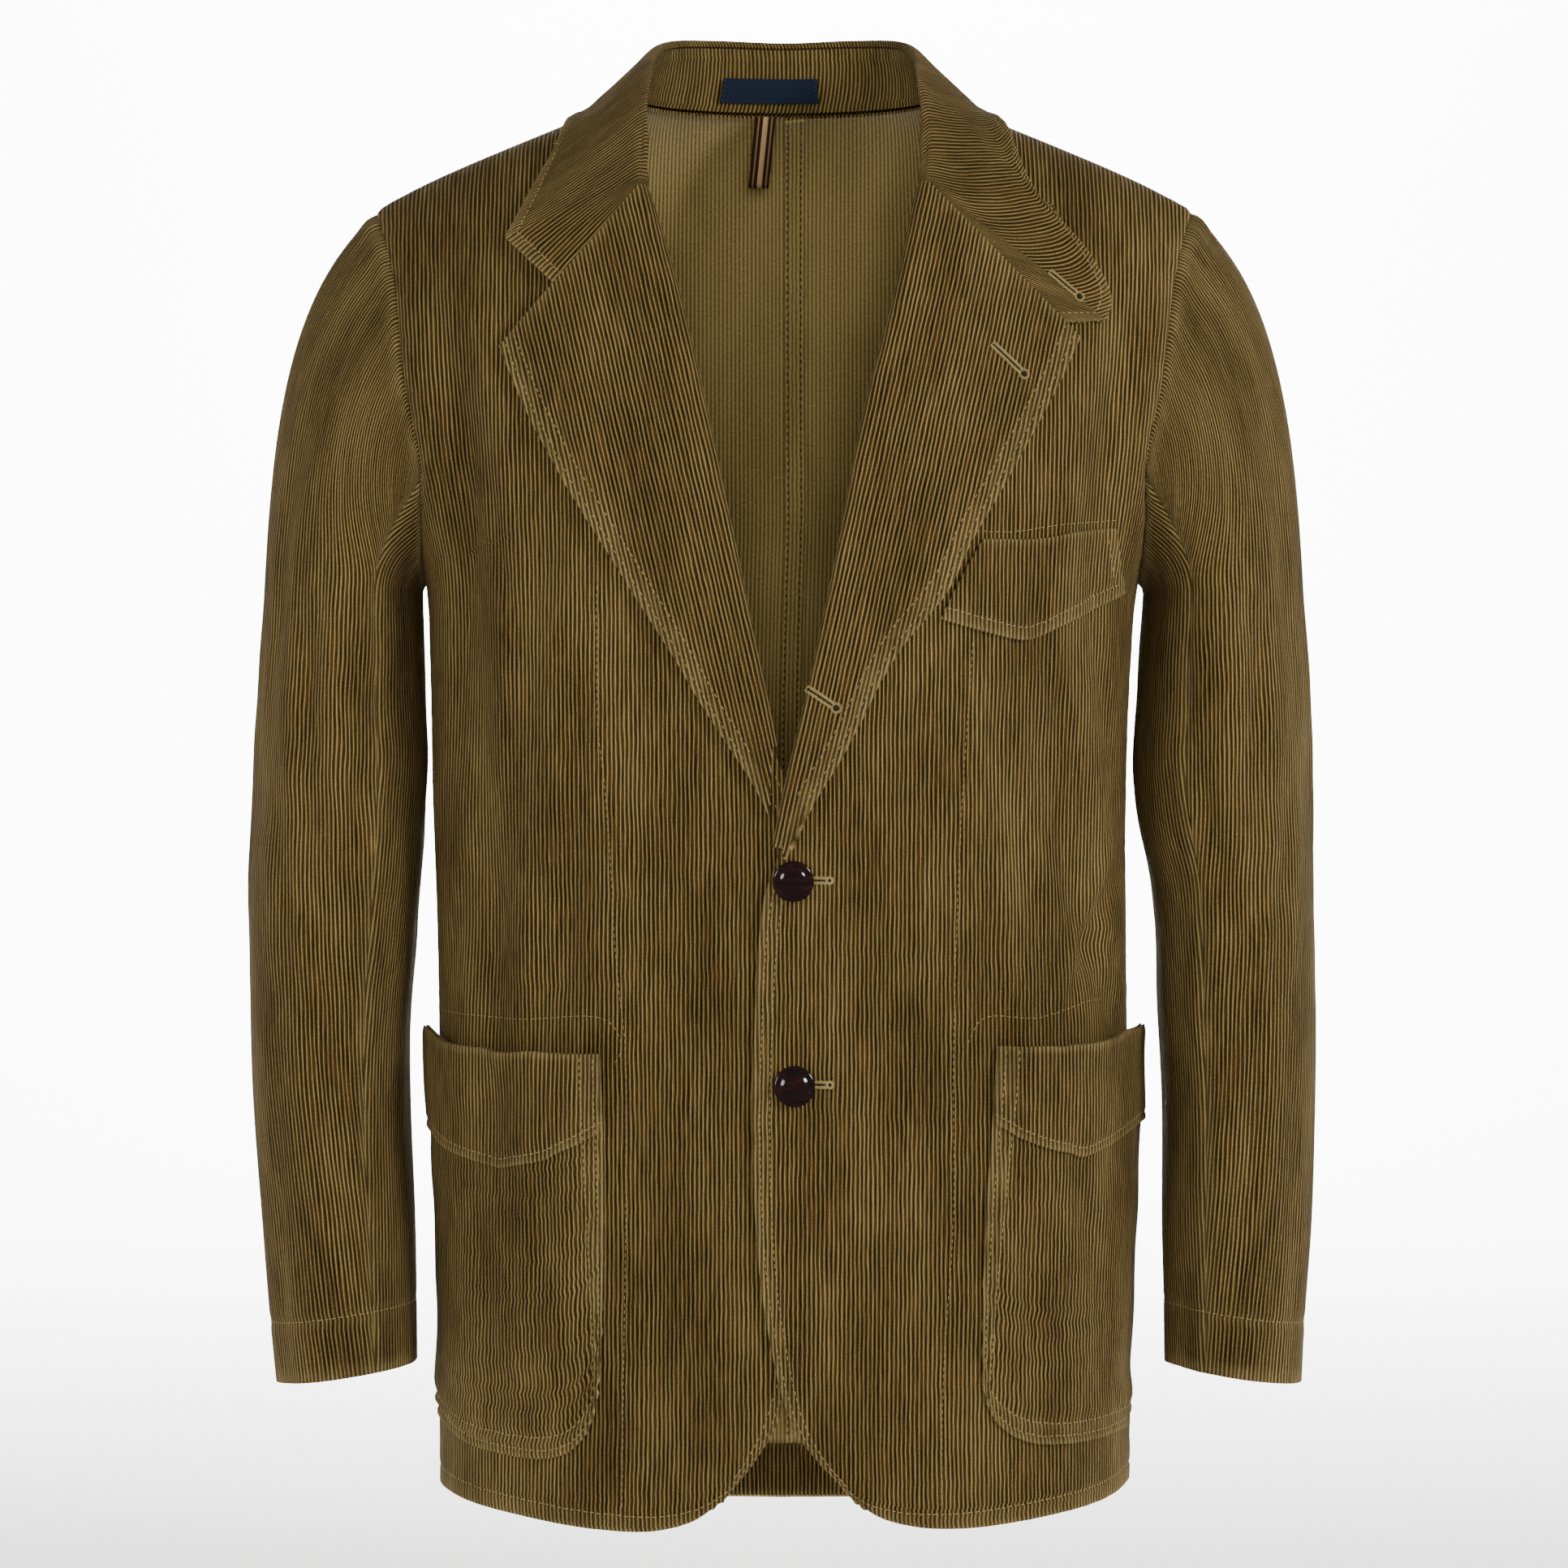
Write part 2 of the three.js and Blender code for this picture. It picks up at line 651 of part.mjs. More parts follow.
function backPanel(side, key) {
  const start = (v) => [0, lerp(hemBackZ, backNeckZ, v)];
  const hem = (u) => {
    const turn = side * rad(90 * u);
    return [turn, lerp(hemBackZ, hemSideZ, u ** 2.2)];
  };
  const neck = (t) => {
    const x = side * neckPoint.x * t;
    return [turnOf(x, backNeckZ), lerp(backNeckZ, neckPoint.z, t * t)];
  };
  const shape = patch(hem, backTop(neck, side), start, outerEdge(1, side));
  const grid = gridOf(backColumns, panelRows, (u, v) => {
    const [turn, z] = shape(u, v);
    return bodyPoint(1, turn, z);
  });
  const normals = squareAtSeams(normalsOf(grid, -side), grid, 1);
  add(`back_${key}`, wall(trimmed(grid), normals, cloth), materials.corduroy);
}

// A lapel: the cloth turned over at the roll line, then lying on the front to its free edge
const lapelRows = steps(18);
const curlAngles = [-90, -35, 20, 60];
const gorgeColumns = 5;
const tipColumns = 2;

function lapelPath(side, key) {
  const edge = frontEdges[key];
  const neckZ = edge[0].z;
  const roll = (v) => {
    const z = lerp(lapelRollEnds[key], neckZ, v);
    return onTurns({ x: panelEdge(side, key, z), z });
  };
  const neck = { x: panelEdge(side, key, neckZ), z: neckZ };
  const tip = lapelEdges[key][lapelEdges[key].length - 1];
  const notch = notches[key];
  const gorge = Math.hypot(notch.x - neck.x, notch.z - neck.z);
  const notchShare = gorge / (gorge + Math.hypot(tip.x - notch.x, tip.z - notch.z));
  const columns = [
    ...steps(gorgeColumns).map((t) => t * notchShare),
    ...steps(tipColumns).slice(1).map((t) => lerp(notchShare, 1, t)),
  ];
  const mix = (a, b, t) => ({ x: lerp(a.x, b.x, t), z: lerp(a.z, b.z, t) });
  const top = (u) => {
    if (u <= notchShare) return onTurns(mix(neck, notch, u / notchShare));
    return onTurns(mix(notch, tip, (u - notchShare) / (1 - notchShare)));
  };
  const edgeFoot = onTurns(lapelEdges[key][0]);
  const rollFoot = roll(0);
  const bottom = (u) => [lerp(rollFoot[0], edgeFoot[0], u), lerp(rollFoot[1], edgeFoot[1], u)];
  const shape = patch(bottom, top, roll, turnRoute(lapelEdges[key]));
  const base = gridOf(columns, lapelRows, (u, v) => bodyPoint(-1, ...shape(u, v)));
  const normals = normalsOf(base, side);
  const grid = base.map((row, j) => {
    const normal = normals[j];
    const across = row[1].clone().sub(row[0]).setZ(0).normalize();
    const radius = lerp(lapelCurl.atBreak, lapelCurl.atNeck, lapelRows[j]);
    const under = side > 0 ? overlapHeight(row[0].x, row[0].z) : 0;
    const curl = curlAngles.map((angle) =>
      row[0]
        .clone()
        .addScaledVector(across, -foldGap - radius * Math.cos(rad(angle)))
        .addScaledVector(normal[0], under - cloth + radius * (1 + Math.sin(rad(angle)))),
    );
    const flat = row.map((p, i) => {
      const u = columns[i];
      const carried = side > 0 ? overlapHeight(p.x, p.z) : 0;
      const least = seamGap + foldedCloth + facetAllowance;
      const settled = least + lapelRise * Math.sin(Math.PI * u * u) * lapelRows[j];
      const lift = lerp(2 * radius - cloth, settled, Math.min(1.6 * u, 1));
      return p.clone().addScaledVector(normal[i], carried + Math.max(lift, least));
    });
    return [...curl, ...flat];
  });
  const faces = normalsOf(grid, side);
  faces.forEach((row, j) => row[0].copy(normals[j][0]).negate());
  return { grid, faces };
}

const lapelPaths = { left: lapelPath(1, 'left'), right: lapelPath(-1, 'right') };

function lapel(key) {
  const { grid, faces } = lapelPaths[key];
  add(`lapel_${key}`, wall(trimmed(grid), faces, foldedCloth), materials.corduroy);
}

// Collar rows: over the top of the roll and down to the outer edge
const collarFlats = gorgeColumns + 1;

function outerPoint(section, side) {
  const place = { x: side * section.outer.x, z: section.outer.z };
  if (section.face === 0) return new THREE.Vector3(place.x, neckMiddleY, shoulderZ(place.x));
  return formPoint(section.face, place.x, place.z);
}

function collarRow(section, side) {
  const flip = (p) => new THREE.Vector3(side * p[0], p[1], p[2]);
  const roll = flip(section.roll);
  const outer = outerPoint(section, side);
  const down = flip(section.foot).sub(roll);
  const start = roll.clone().addScaledVector(down.clone().normalize(), standTop(down.length()));
  down.normalize();
  const out = outer.clone().sub(roll);
  out.addScaledVector(down, -out.dot(down)).normalize();
  const turned = roll.clone().addScaledVector(out, collarRoll.width).addScaledVector(down, collarRoll.fall);
  const crest = roll.clone().addScaledVector(out, collarRoll.width / 2).addScaledVector(down, -collarRoll.crest);
  const bend = new THREE.QuadraticBezierCurve3(start, crest, turned);
  const curl = steps(curlAngles.length).slice(0, -1).map((t) => bend.getPoint(t));
  const flat = steps(collarFlats - 1).map((t) => turned.clone().lerp(outer, t));
  return [...curl, ...flat.map(clearOfBody)];
}

// How far below the roll the collar starts, less where the stand runs out
function standTop(height) {
  return Math.min(collarRoll.start, height / 2);
}

// Moves a collar point outside the cloth that it lies on
function clearOfBody(point) {
  const rise = seamGap + foldedCloth + facetAllowance + collarRoll.ease;
  const face = point.y < neckMiddleY ? -1 : 1;
  const mid = along(bodySections, 'z', 'mid', point.z);
  const deepest = Math.abs(formPoint(face, point.x, -350).y - mid);
  const curve = fullDepthDrop(face, point.x);
  const share = Math.min(Math.abs(point.y - mid) / deepest, 0.99);
  const level = Math.sqrt(1 - share * share);
  const slope = (curve * share) / (level * deepest);
  if (slope < 1) {
    const surface = shoulderZ(point.x) - curve * (1 - level);
    point.z = Math.max(point.z, surface + rise * Math.hypot(1, slope));
  } else if (point.z < shoulderZ(point.x)) {
    const y = formPoint(face, point.x, point.z).y + face * rise * Math.hypot(1, 1 / slope);
    point.y = face < 0 ? Math.min(point.y, y) : Math.max(point.y, y);
  }
  return point;
}

function collarSide(side, key) {
  const { grid } = lapelPaths[key];
  const gorge = grid[grid.length - 1].slice(0, curlAngles.length + collarFlats);
  const outerOf = (section, i) =>
    (side > 0 && i < leftCollarOuter.length ? leftCollarOuter[i] : section.outer);
  const rows = collarSections.map((section, i) =>
    collarRow({ ...section, outer: outerOf(section, i) }, side));
  rows[0] = endRow(gorge, rows[1], outerPoint({ outer: outerOf(collarSections[0], 0), face: -1 }, side), 0.16);
  if (side > 0) {
    const tab = outerPoint({ outer: leftCollarTab, face: -1 }, side);
    rows.unshift(endRow(gorge, rows[1], tab, 0.05));
  }
  return [gorge, ...rows];
}

// A row near the collar's end: it starts close to the gorge and runs out to the given corner
function endRow(gorge, next, corner, along) {
  const bend = curlAngles.length;
  const shifted = gorge.map((p, i) => p.clone().lerp(next[i], along));
  return shifted.map((p, i) => {
    if (i < bend) return p;
    const share = (i - bend) / (collarFlats - 1);
    const straight = shifted[bend].clone().lerp(corner, share);
    return clearOfBody(straight);
  });
}

// A loft through rows, with extra rows between them on smooth curves
function loft(rows, between) {
  const curves = rows[0].map((_, i) =>
    new THREE.CatmullRomCurve3(rows.map((row) => row[i]), false, 'centripetal'));
  const spans = rows.length - 1;
  const result = [];
  for (let j = 0; j < spans; j++) {
    for (let k = 0; k < between; k++) {
      result.push(curves.map((curve) => curve.getPoint((j + k / between) / spans)));
    }
  }
  result.push(rows[spans]);
  return result;
}

function collarRows() {
  const right = collarSide(-1, 'right');
  const left = collarSide(1, 'left').reverse();
  return [...right, ...left.slice(1)];
}

function collarFall() {
  const rows = collarRows();
  const bend = curlAngles.length;
  const middle = loft(rows.slice(1, -1), 3);
  middle.forEach((row) => row.forEach((p, i) => i > bend && clearOfBody(p)));
  const grid = [rows[0], ...middle, rows[rows.length - 1]];
  const normals = normalsOf(grid, -1);
  const count = rows[0].length;
  const last = grid.length - 1;
  const apart = (row, next) => row.map((p, i) => p.clone().addScaledVector(next[i].clone().sub(p).normalize(), gorgeGap));
  grid[0] = apart(grid[0], grid[1]);
  grid[last] = apart(grid[last], grid[last - 1]);
  for (const [j, key] of [[0, 'right'], [last, 'left']]) {
    const faces = lapelPaths[key].faces;
    normals[j] = faces[faces.length - 1].slice(0, count);
  }
  add('collar_fall', wall(trimmed(grid), normals, foldedCloth), materials.corduroy);
}

// The stand that shows inside the neck, from the neck seam to the roll
function standRows() {
  const row = (section, side) => {
    const flip = (p) => new THREE.Vector3(side * p[0], p[1], p[2]);
    const roll = flip(section.roll);
    const foot = flip(section.foot);
    const way = roll.clone().sub(foot);
    const length = way.length();
    way.normalize();
    const top = roll.clone().addScaledVector(way, -standTop(length) - foldGap - seamGap);
    const low = foot.clone().addScaledVector(way, Math.min(seamGap + facetAllowance, length / 4));
    return steps(2).map((t) => low.clone().lerp(top, t));
  };
  const used = collarSections.slice(2);
  return [
    ...used.map((section) => row(section, -1)),
    ...used.slice(0, -1).reverse().map((section) => row(section, 1)),
  ];
}

function collarStand() {
  const grid = loft(standRows(), 3);
  add('collar_stand', wall(grid, normalsOf(grid, -1), foldedCloth), materials.corduroy);
  const middle = (grid.length - 1) / 2;
  const onStand = (u, v) => {
    const row = middle + lerp(neckLabel.from, neckLabel.to, u) * 1.5;
    const column = lerp(neckLabel.low, neckLabel.high, v) * 2;
    const j = Math.floor(row);
    const i = Math.floor(column);
    const low = grid[j][i].clone().lerp(grid[j + 1][i], row - j);
    const high = grid[j][i + 1].clone().lerp(grid[j + 1][i + 1], row - j);
    return low.lerp(high, column - i);
  };
  const label = gridOf(steps(6), steps(2), onStand);
  const normals = normalsOf(label, 1);
  label.forEach((row, j) =>
    row.forEach((p, i) => p.addScaledVector(normals[j][i], seamGap + neckLabel.thickness)),
  );
  add('neck_label', wall(label, normals, neckLabel.thickness), materials.navyLabel);
}

// Sleeves run from the armhole seam over the sleeve head to the cuff
function armholePoint(side, turnShare) {
  const front = turnShare <= 0.5;
  const share = front ? turnShare * 2 : (1 - turnShare) * 2;
  const table = front ? frontArmhole : backArmhole;
  const face = front ? -1 : 1;
  const curve = new THREE.CatmullRomCurve3(
    table.map((row) => bodyPoint(face, side * rad(row.turn), row.z)),
    false,
    'centripetal',
  );
  return curve.getPointAt(share);
}

function sleeveFold(turn, z) {
  let depth = 0;
  for (const fold of sleeveFolds) {
    const off = (turn - fold.turn - fold.lean * (z - fold.z)) / fold.width;
    const run = (z - fold.z) / fold.length;
    depth += fold.depth * Math.exp(-off * off - run * run);
  }
  return depth;
}

function sleevePoint(side, key, turn, z) {
  const rows = sleeveSections[key];
  const outer = along(rows, 'z', 'outer', z);
  const inner = along(rows, 'z', 'inner', z);
  const half = (outer - inner) / 2;
  const fold = 1 - sleeveFold(turn, z) / half;
  const angle = turn * 2 * Math.PI;
  const cuffShare = smooth(-z, 600, -rows[rows.length - 1].z);
  return new THREE.Vector3(
    side * (inner + half + half * Math.cos(angle) * fold),
    along(rows, 'z', 'mid', z) - along(rows, 'z', 'depth', z) * Math.sin(angle) * fold,
    z - cuffShare * cuffSlant * Math.cos(angle),
  );
}

const sleeveTurns = 24;
const sleeveHeadRows = steps(8).slice(0, -1);

function sleeveHead(side, key, turn) {
  const seam = armholePoint(side, turn);
  const full = sleevePoint(side, key, turn, sleeveRings[0]);
  const reach = seam.distanceTo(full);
  const top = 0.5 + 0.5 * Math.cos(turn * 2 * Math.PI);
  const away = new THREE.Vector3(side * lerp(0.35, 0.8, top), 0, -lerp(0.9, 0.62, top)).normalize();
  const seat = seam.clone().add(new THREE.Vector3(side * seamGap, 0, 0));
  return new THREE.CubicBezierCurve3(
    seat,
    seat.clone().addScaledVector(away, reach * 0.3),
    full.clone().add(new THREE.Vector3(-side * 4 * top, 0, reach * 0.38)),
    full,
  );
}

function sleeve(side, key) {
  const turns = steps(sleeveTurns).slice(0, -1);
  const heads = turns.map((turn) => sleeveHead(side, key, turn));
  const ring = [
    ...sleeveHeadRows.map((t) => heads.map((curve) => curve.getPoint(t))),
    ...sleeveRings.map((z) => turns.map((turn) => sleevePoint(side, key, turn, z))),
  ];
  const wrapped = ring.map((row) => [row[row.length - 1], ...row, row[0]]);
  const faces = normalsOf(wrapped, side).map((row) => row.slice(1, -1));
  const piece = (name, from, count) => {
    const pick = (row) => Array.from({ length: count + 1 }, (_, i) => row[(from + i) % sleeveTurns]);
    add(name, wall(trimmed(ring.map(pick)), faces.map(pick), cloth), materials.corduroy);
  };
  const { front, back } = sleeveSeams;
  piece(`sleeve_upper_${key}`, back, sleeveTurns - back + front);
  piece(`sleeve_under_${key}`, front, back - front);
}

// Patch pockets with a turned-down, pointed cuff along the mouth
function pocketHeight(u, v) {
  const across = Math.sin(Math.PI * Math.min(u * 1.04, 1)) ** 0.6;
  const mouth = pocketStandOff.mouth * v ** 3 * across;
  const side = pocketStandOff.side * u ** 3 * smooth(v, 0.1, 0.9);
  return pocketStandOff.seam + Math.max(mouth, side) + 1.2 * across * smooth(v, 0, 0.3);
}

function pocket(side, key) {
  const { inner, bottom, mouth, cuffInner, cuffPoint, cuffOuter } = pockets[key];
  const low = bottom[bottom.length - 1];
  const high = mouth[mouth.length - 1];
  const innerRoute = turnRoute([...inner].reverse());
  const outer = (v) => {
    const z = lerp(low.z, high.z, v);
    return [lerp(turnOf(low.x, low.z), turnOf(high.x, high.z), v), z];
  };
  const shape = patch(turnRoute(bottom), turnRoute(mouth), innerRoute, outer);
  const base = (u, v) => bodyPoint(-1, ...shape(u, v));
  const us = steps(11);
  const vs = steps(11);
  const grid = gridOf(us, vs, base);
  const normals = normalsOf(grid, side);
  const lifted = grid.map((row, j) =>
    row.map((p, i) => p.clone().addScaledVector(normals[j][i], pocketHeight(us[i], vs[j]) + cloth)),
  );
  add(`hip_pocket_${key}`, wall(lifted, normals, cloth), materials.corduroy);
  const cuffLow = (u) => {
    const { share, z } = cuffPoint;
    const level = u < share ? lerp(cuffInner, z, u / share) : lerp(z, cuffOuter, (u - share) / (1 - share));
    const top = innerRoute(1)[1];
    return (level - low.z) / (top - low.z);
  };
  const cuffRows = steps(4);
  const cuffBase = gridOf(us, cuffRows, (u, v) => base(u, lerp(cuffLow(u), 1, v)));
  const cuffNormals = normalsOf(cuffBase, side);
  const cuff = cuffBase.map((row, j) =>
    row.map((p, i) => {
      const u = us[i];
      const under = pocketHeight(u, lerp(cuffLow(u), 1, cuffRows[j])) + cloth;
      return p.clone().addScaledVector(cuffNormals[j][i], under + seamGap + 0.2 + cloth);
    }),
  );
  add(`hip_pocket_cuff_${key}`, wall(cuff, cuffNormals, cloth), materials.corduroy);
}

function chestPocketFlap() {
  const top = turnRoute(chestFlap.top);
  const bottom = turnRoute(chestFlap.bottom);
  const between = (t) => (v) => [lerp(bottom(t)[0], top(t)[0], v), lerp(bottom(t)[1], top(t)[1], v)];
  const shape = patch(bottom, top, between(0), between(1));
  const grid = gridOf(steps(9), steps(4), (u, v) => bodyPoint(-1, ...shape(u, v)));
  const normals = normalsOf(grid, 1);
  grid.forEach((row, j) =>
    row.forEach((p, i) => p.addScaledVector(normals[j][i], seamGap + cloth + 0.8 * (1 - j / 4))),
  );
  add('chest_flap', wall(grid, normals, cloth), materials.corduroy);
}

// A round button with a raised rim and a dished middle, in front of the buttonhole
function button({ name, x, z }) {
  const r = buttonDiameter / 2;
  const t = buttonThickness;
  const profile = [
    [0, 0],
    [r * 0.6, 0],
    [r * 0.92, t * 0.3],
    [r, t * 0.62],
    [r * 0.94, t * 0.94],
    [r * 0.82, t],
    [r * 0.7, t * 0.86],
    [r * 0.5, t * 0.6],
    [0, t * 0.5],
  ].map(([a, b]) => new THREE.Vector2(a, b));
  const geometry = new THREE.LatheGeometry(profile, 24);
  geometry.rotateX(Math.PI);
  const mesh = add(name, geometry, materials.horn);
  const faceAt = (height) => formPoint(-1, x, height).y - overlapHeight(x, height);
  const slope = (faceAt(z + r) - faceAt(z - r)) / (2 * r);
  mesh.position.set(x, faceAt(z) - buttonSeat, z);
  mesh.rotation.x = -Math.atan(slope);
}

// The hanging loop: a tape sewn in the neck seam, down and back up to it
function hangingLoop() {
  const { width, top, drop, gap, thickness, lean } = hangerLoop;
  const back = formPoint(1, hangerLoop.x, top).y - hangerLoop.clear - thickness;
  const ahead = back - thickness - gap;
  const radius = gap / 2 + thickness;
  const bend = steps(6).map((t) => {
    const angle = rad(lerp(0, 180, t));
    return [(back + ahead - 0) / 2 + (gap / 2 + thickness / 2) * Math.cos(angle),
      top - drop + radius - (gap / 2 + thickness / 2) * Math.sin(angle)];
  });
  const path = [[back, top], [back, top - 14], ...bend, [ahead, top - 14], [ahead, top]];
  const grid = path.map(([y, z]) =>
    steps(2).map((t) => new THREE.Vector3(
      hangerLoop.x + (t - 0.5) * width + lean * (z - top), y, z)),
  );
  const normals = normalsOf(grid, 1);
  const outer = grid.map((row, j) =>
    row.map((p, i) => p.clone().addScaledVector(normals[j][i], thickness / 2)),
  );
  add('hanger_loop', wall(outer, normals, thickness), materials.loopTape);
}

for (const [side, key] of [[1, 'left'], [-1, 'right']]) {
  frontPanel(side, key);
  backPanel(side, key);
  sleeve(side, key);
  lapel(key);
  pocket(side, key);
}
collarFall();
collarStand();
chestPocketFlap();
buttons.forEach(button);
hangingLoop();

export default jacket;
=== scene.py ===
# Corduroy jacket: the worn cloth, its stitching and its finish, over the fixed frame.
# Tables are in millimetres, as a pattern maker writes them. Meshes are in metres.
import bisect
import math
import random

import bmesh
import bpy
from mathutils import Matrix, Vector, noise


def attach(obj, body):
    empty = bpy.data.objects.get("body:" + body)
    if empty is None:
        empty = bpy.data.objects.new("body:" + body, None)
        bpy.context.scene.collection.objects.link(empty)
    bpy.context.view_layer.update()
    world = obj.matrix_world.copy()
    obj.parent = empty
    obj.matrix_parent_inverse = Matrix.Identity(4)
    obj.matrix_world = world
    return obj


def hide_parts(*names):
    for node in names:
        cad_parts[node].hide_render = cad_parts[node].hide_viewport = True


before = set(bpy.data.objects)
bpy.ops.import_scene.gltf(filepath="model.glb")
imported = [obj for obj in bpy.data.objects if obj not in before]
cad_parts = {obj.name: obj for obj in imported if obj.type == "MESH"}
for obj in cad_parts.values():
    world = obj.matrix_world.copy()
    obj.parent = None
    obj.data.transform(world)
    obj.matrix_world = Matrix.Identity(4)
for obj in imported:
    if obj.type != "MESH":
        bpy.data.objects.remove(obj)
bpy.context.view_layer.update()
mm = 0.001
dice = random.Random(7)

print("camera")
shot = {"distance": 3000, "height": -367.2, "lens": 124.2}

cameraData = bpy.data.cameras.new("camera")
cameraData.lens = shot["lens"]
cameraData.sensor_width = 36
cameraData.clip_start = 0.1
camera = bpy.data.objects.new("camera", cameraData)
camera.location = (0, -shot["distance"] * mm, shot["height"] * mm)
camera.rotation_euler = (math.pi / 2, 0, 0)
bpy.context.scene.collection.objects.link(camera)
bpy.context.scene.camera = camera


def lerp(a, b, t):
    return a + (b - a) * t


def smooth(x, low, high):
    t = min(max((x - low) / (high - low), 0), 1)
    return t * t * (3 - 2 * t)


# A rounded hump, 1 at its middle and near 0 at twice its reach
def hump(place, middle, reach):
    return math.exp(-(((place - middle) / reach) ** 2))


# A smooth curve through a table: the value of one column at a place in its first column
def along(rows, at, column=1):
    if rows[0][0] > rows[-1][0]:
        rows = rows[::-1]
    places = [row[0] for row in rows]
    last = len(rows) - 1
    if at <= places[0]:
        return rows[0][column]
    if at >= places[last]:
        return rows[last][column]
    i = bisect.bisect_right(places, at) - 1

    def slope(k):
        a, b = max(k - 1, 0), min(k + 1, last)
        return (rows[b][column] - rows[a][column]) / (places[b] - places[a])

    step = places[i + 1] - places[i]
    t = (at - places[i]) / step
    rise = rows[i + 1][column] - rows[i][column]
    a = slope(i) * step - rise
    b = rise - slope(i + 1) * step
    return rows[i][column] + t * rise + t * (1 - t) * (a * (1 - t) + b * t)


# One span of a centripetal curve through four points
def bendPoint(p0, p1, p2, p3, t):
    d0 = max((p1 - p0).length ** 0.5, 1e-4)
    d1 = max((p2 - p1).length ** 0.5, 1e-4)
    d2 = max((p3 - p2).length ** 0.5, 1e-4)
    m1 = ((p1 - p0) / d0 - (p2 - p0) / (d0 + d1) + (p2 - p1) / d1) * d1
    m2 = ((p2 - p1) / d1 - (p3 - p1) / (d1 + d2) + (p3 - p2) / d2) * d1
    return (p1 * (2 * t**3 - 3 * t**2 + 1) + m1 * (t**3 - 2 * t**2 + t)
            + p2 * (3 * t**2 - 2 * t**3) + m2 * (t**3 - t**2))


def bendAt(points, span, t):
    p1, p2 = points[span], points[span + 1]
    p0 = points[span - 1] if span > 0 else p1 * 2 - p2
    p3 = points[span + 2] if span + 2 < len(points) else p2 * 2 - p1
    return bendPoint(p0, p1, p2, p3, t)


# A smooth route through points, run at even speed from 0 to 1
def route(points, finer=14):
    line = [bendAt(points, span, k / finer) for span in range(len(points) - 1) for k in range(finer)]
    line.append(points[-1])
    reach = [0]
    for a, b in zip(line, line[1:]):
        reach.append(reach[-1] + (b - a).length)

    def at(t):
        way = min(max(t, 0), 1) * reach[-1]
        i = min(bisect.bisect_right(reach, way), len(line) - 1) - 1
        span = reach[i + 1] - reach[i]
        return line[i].lerp(line[i + 1], (way - reach[i]) / span if span else 0)

    return at


# Even steps from 0 to 1, with closer ones at each end for seams and edges
def closeSteps(count, length, ends=(1.2, 3, 5.5, 9)):
    near = [e / length for e in ends if e / length < 0.2]
    first = near[-1] if near else 0
    middle = [lerp(first, 1 - first, k / count) for k in range(count + 1)]
    return sorted({0, 1, *near, *[1 - e for e in near], *middle})


def steps(count):
    return [k / count for k in range(count + 1)]


print("form of the worn jacket")
cloth = {"wall": 1.5, "folded": 2.4, "seamGap": 0.3, "seamDip": 0.9, "seamWidth": 2.2}
shoulder = {"neckX": 85, "neckZ": 14, "tipX": 226.5, "tipZ": -48.6, "slope": 0.405, "tipDrop": 5.3}
hems = {"sideZ": -749, "backZ": -778, "underarmZ": -255, "backNeckZ": 13}
depthDrop = {"front": 300, "backNeck": 80, "backShoulder": 150, "from": 60, "to": 160}
sideRoundness = 2.6

bodySections = [  # height, half width, shift, depth to front, to back, middle
    (60, 262, 0, 125, 104, 10),
    (-48, 258, 0, 128, 106, 8),
    (-120, 244, 0, 130, 110, 5),
    (-180, 226, 0, 130, 114, 3),
    (-220, 209, 0, 129, 117, 2),
    (-255, 197, -1, 128, 118, 1),
    (-300, 193.5, -2, 126, 116, 0),
    (-370, 191.5, -2.5, 121, 108, 0),
    (-450, 190, -1, 114, 101, 0),
    (-560, 190.5, 0, 116, 108, 0),
    (-680, 191, 0.4, 119, 116, 0),
    (-780, 190.3, 0.8, 120, 118, 0),
]
creases = [  # face, x, z, half length, half width, lean, depth
    (-1, -163, -400, 190, 13, -0.06, 4.5),
    (-1, -140, -330, 110, 11, 0.1, 2.6),
    (-1, -128, -480, 60, 13, 0.25, 2.4),
    (-1, -70, -640, 110, 20, -0.1, 2.2),
    (-1, 158, -420, 120, 14, -0.22, 3.2),
    (-1, 165, -440, 42, 4.5, 0.36, -2),
    (-1, 172, -438, 40, 7, 0.36, 2.6),
    (-1, 128, -395, 90, 12, -0.2, 2.4),
    (-1, 78, -620, 120, 18, 0.08, 2),
    (-1, 176, -180, 90, 12, 0.12, 4),
    (-1, -178, -170, 90, 12, -0.12, 4),
    (1, -60, -420, 160, 24, 0.12, 4.5),
    (1, 66, -450, 150, 22, -0.1, 4),
    (1, -150, -330, 120, 18, -0.2, 4),
    (1, 148, -300, 130, 18, 0.2, 4.4),
    (1, 110, -640, 110, 24, 0.05, 3),
    (1, -112, -660, 100, 24, -0.06, 3),
]
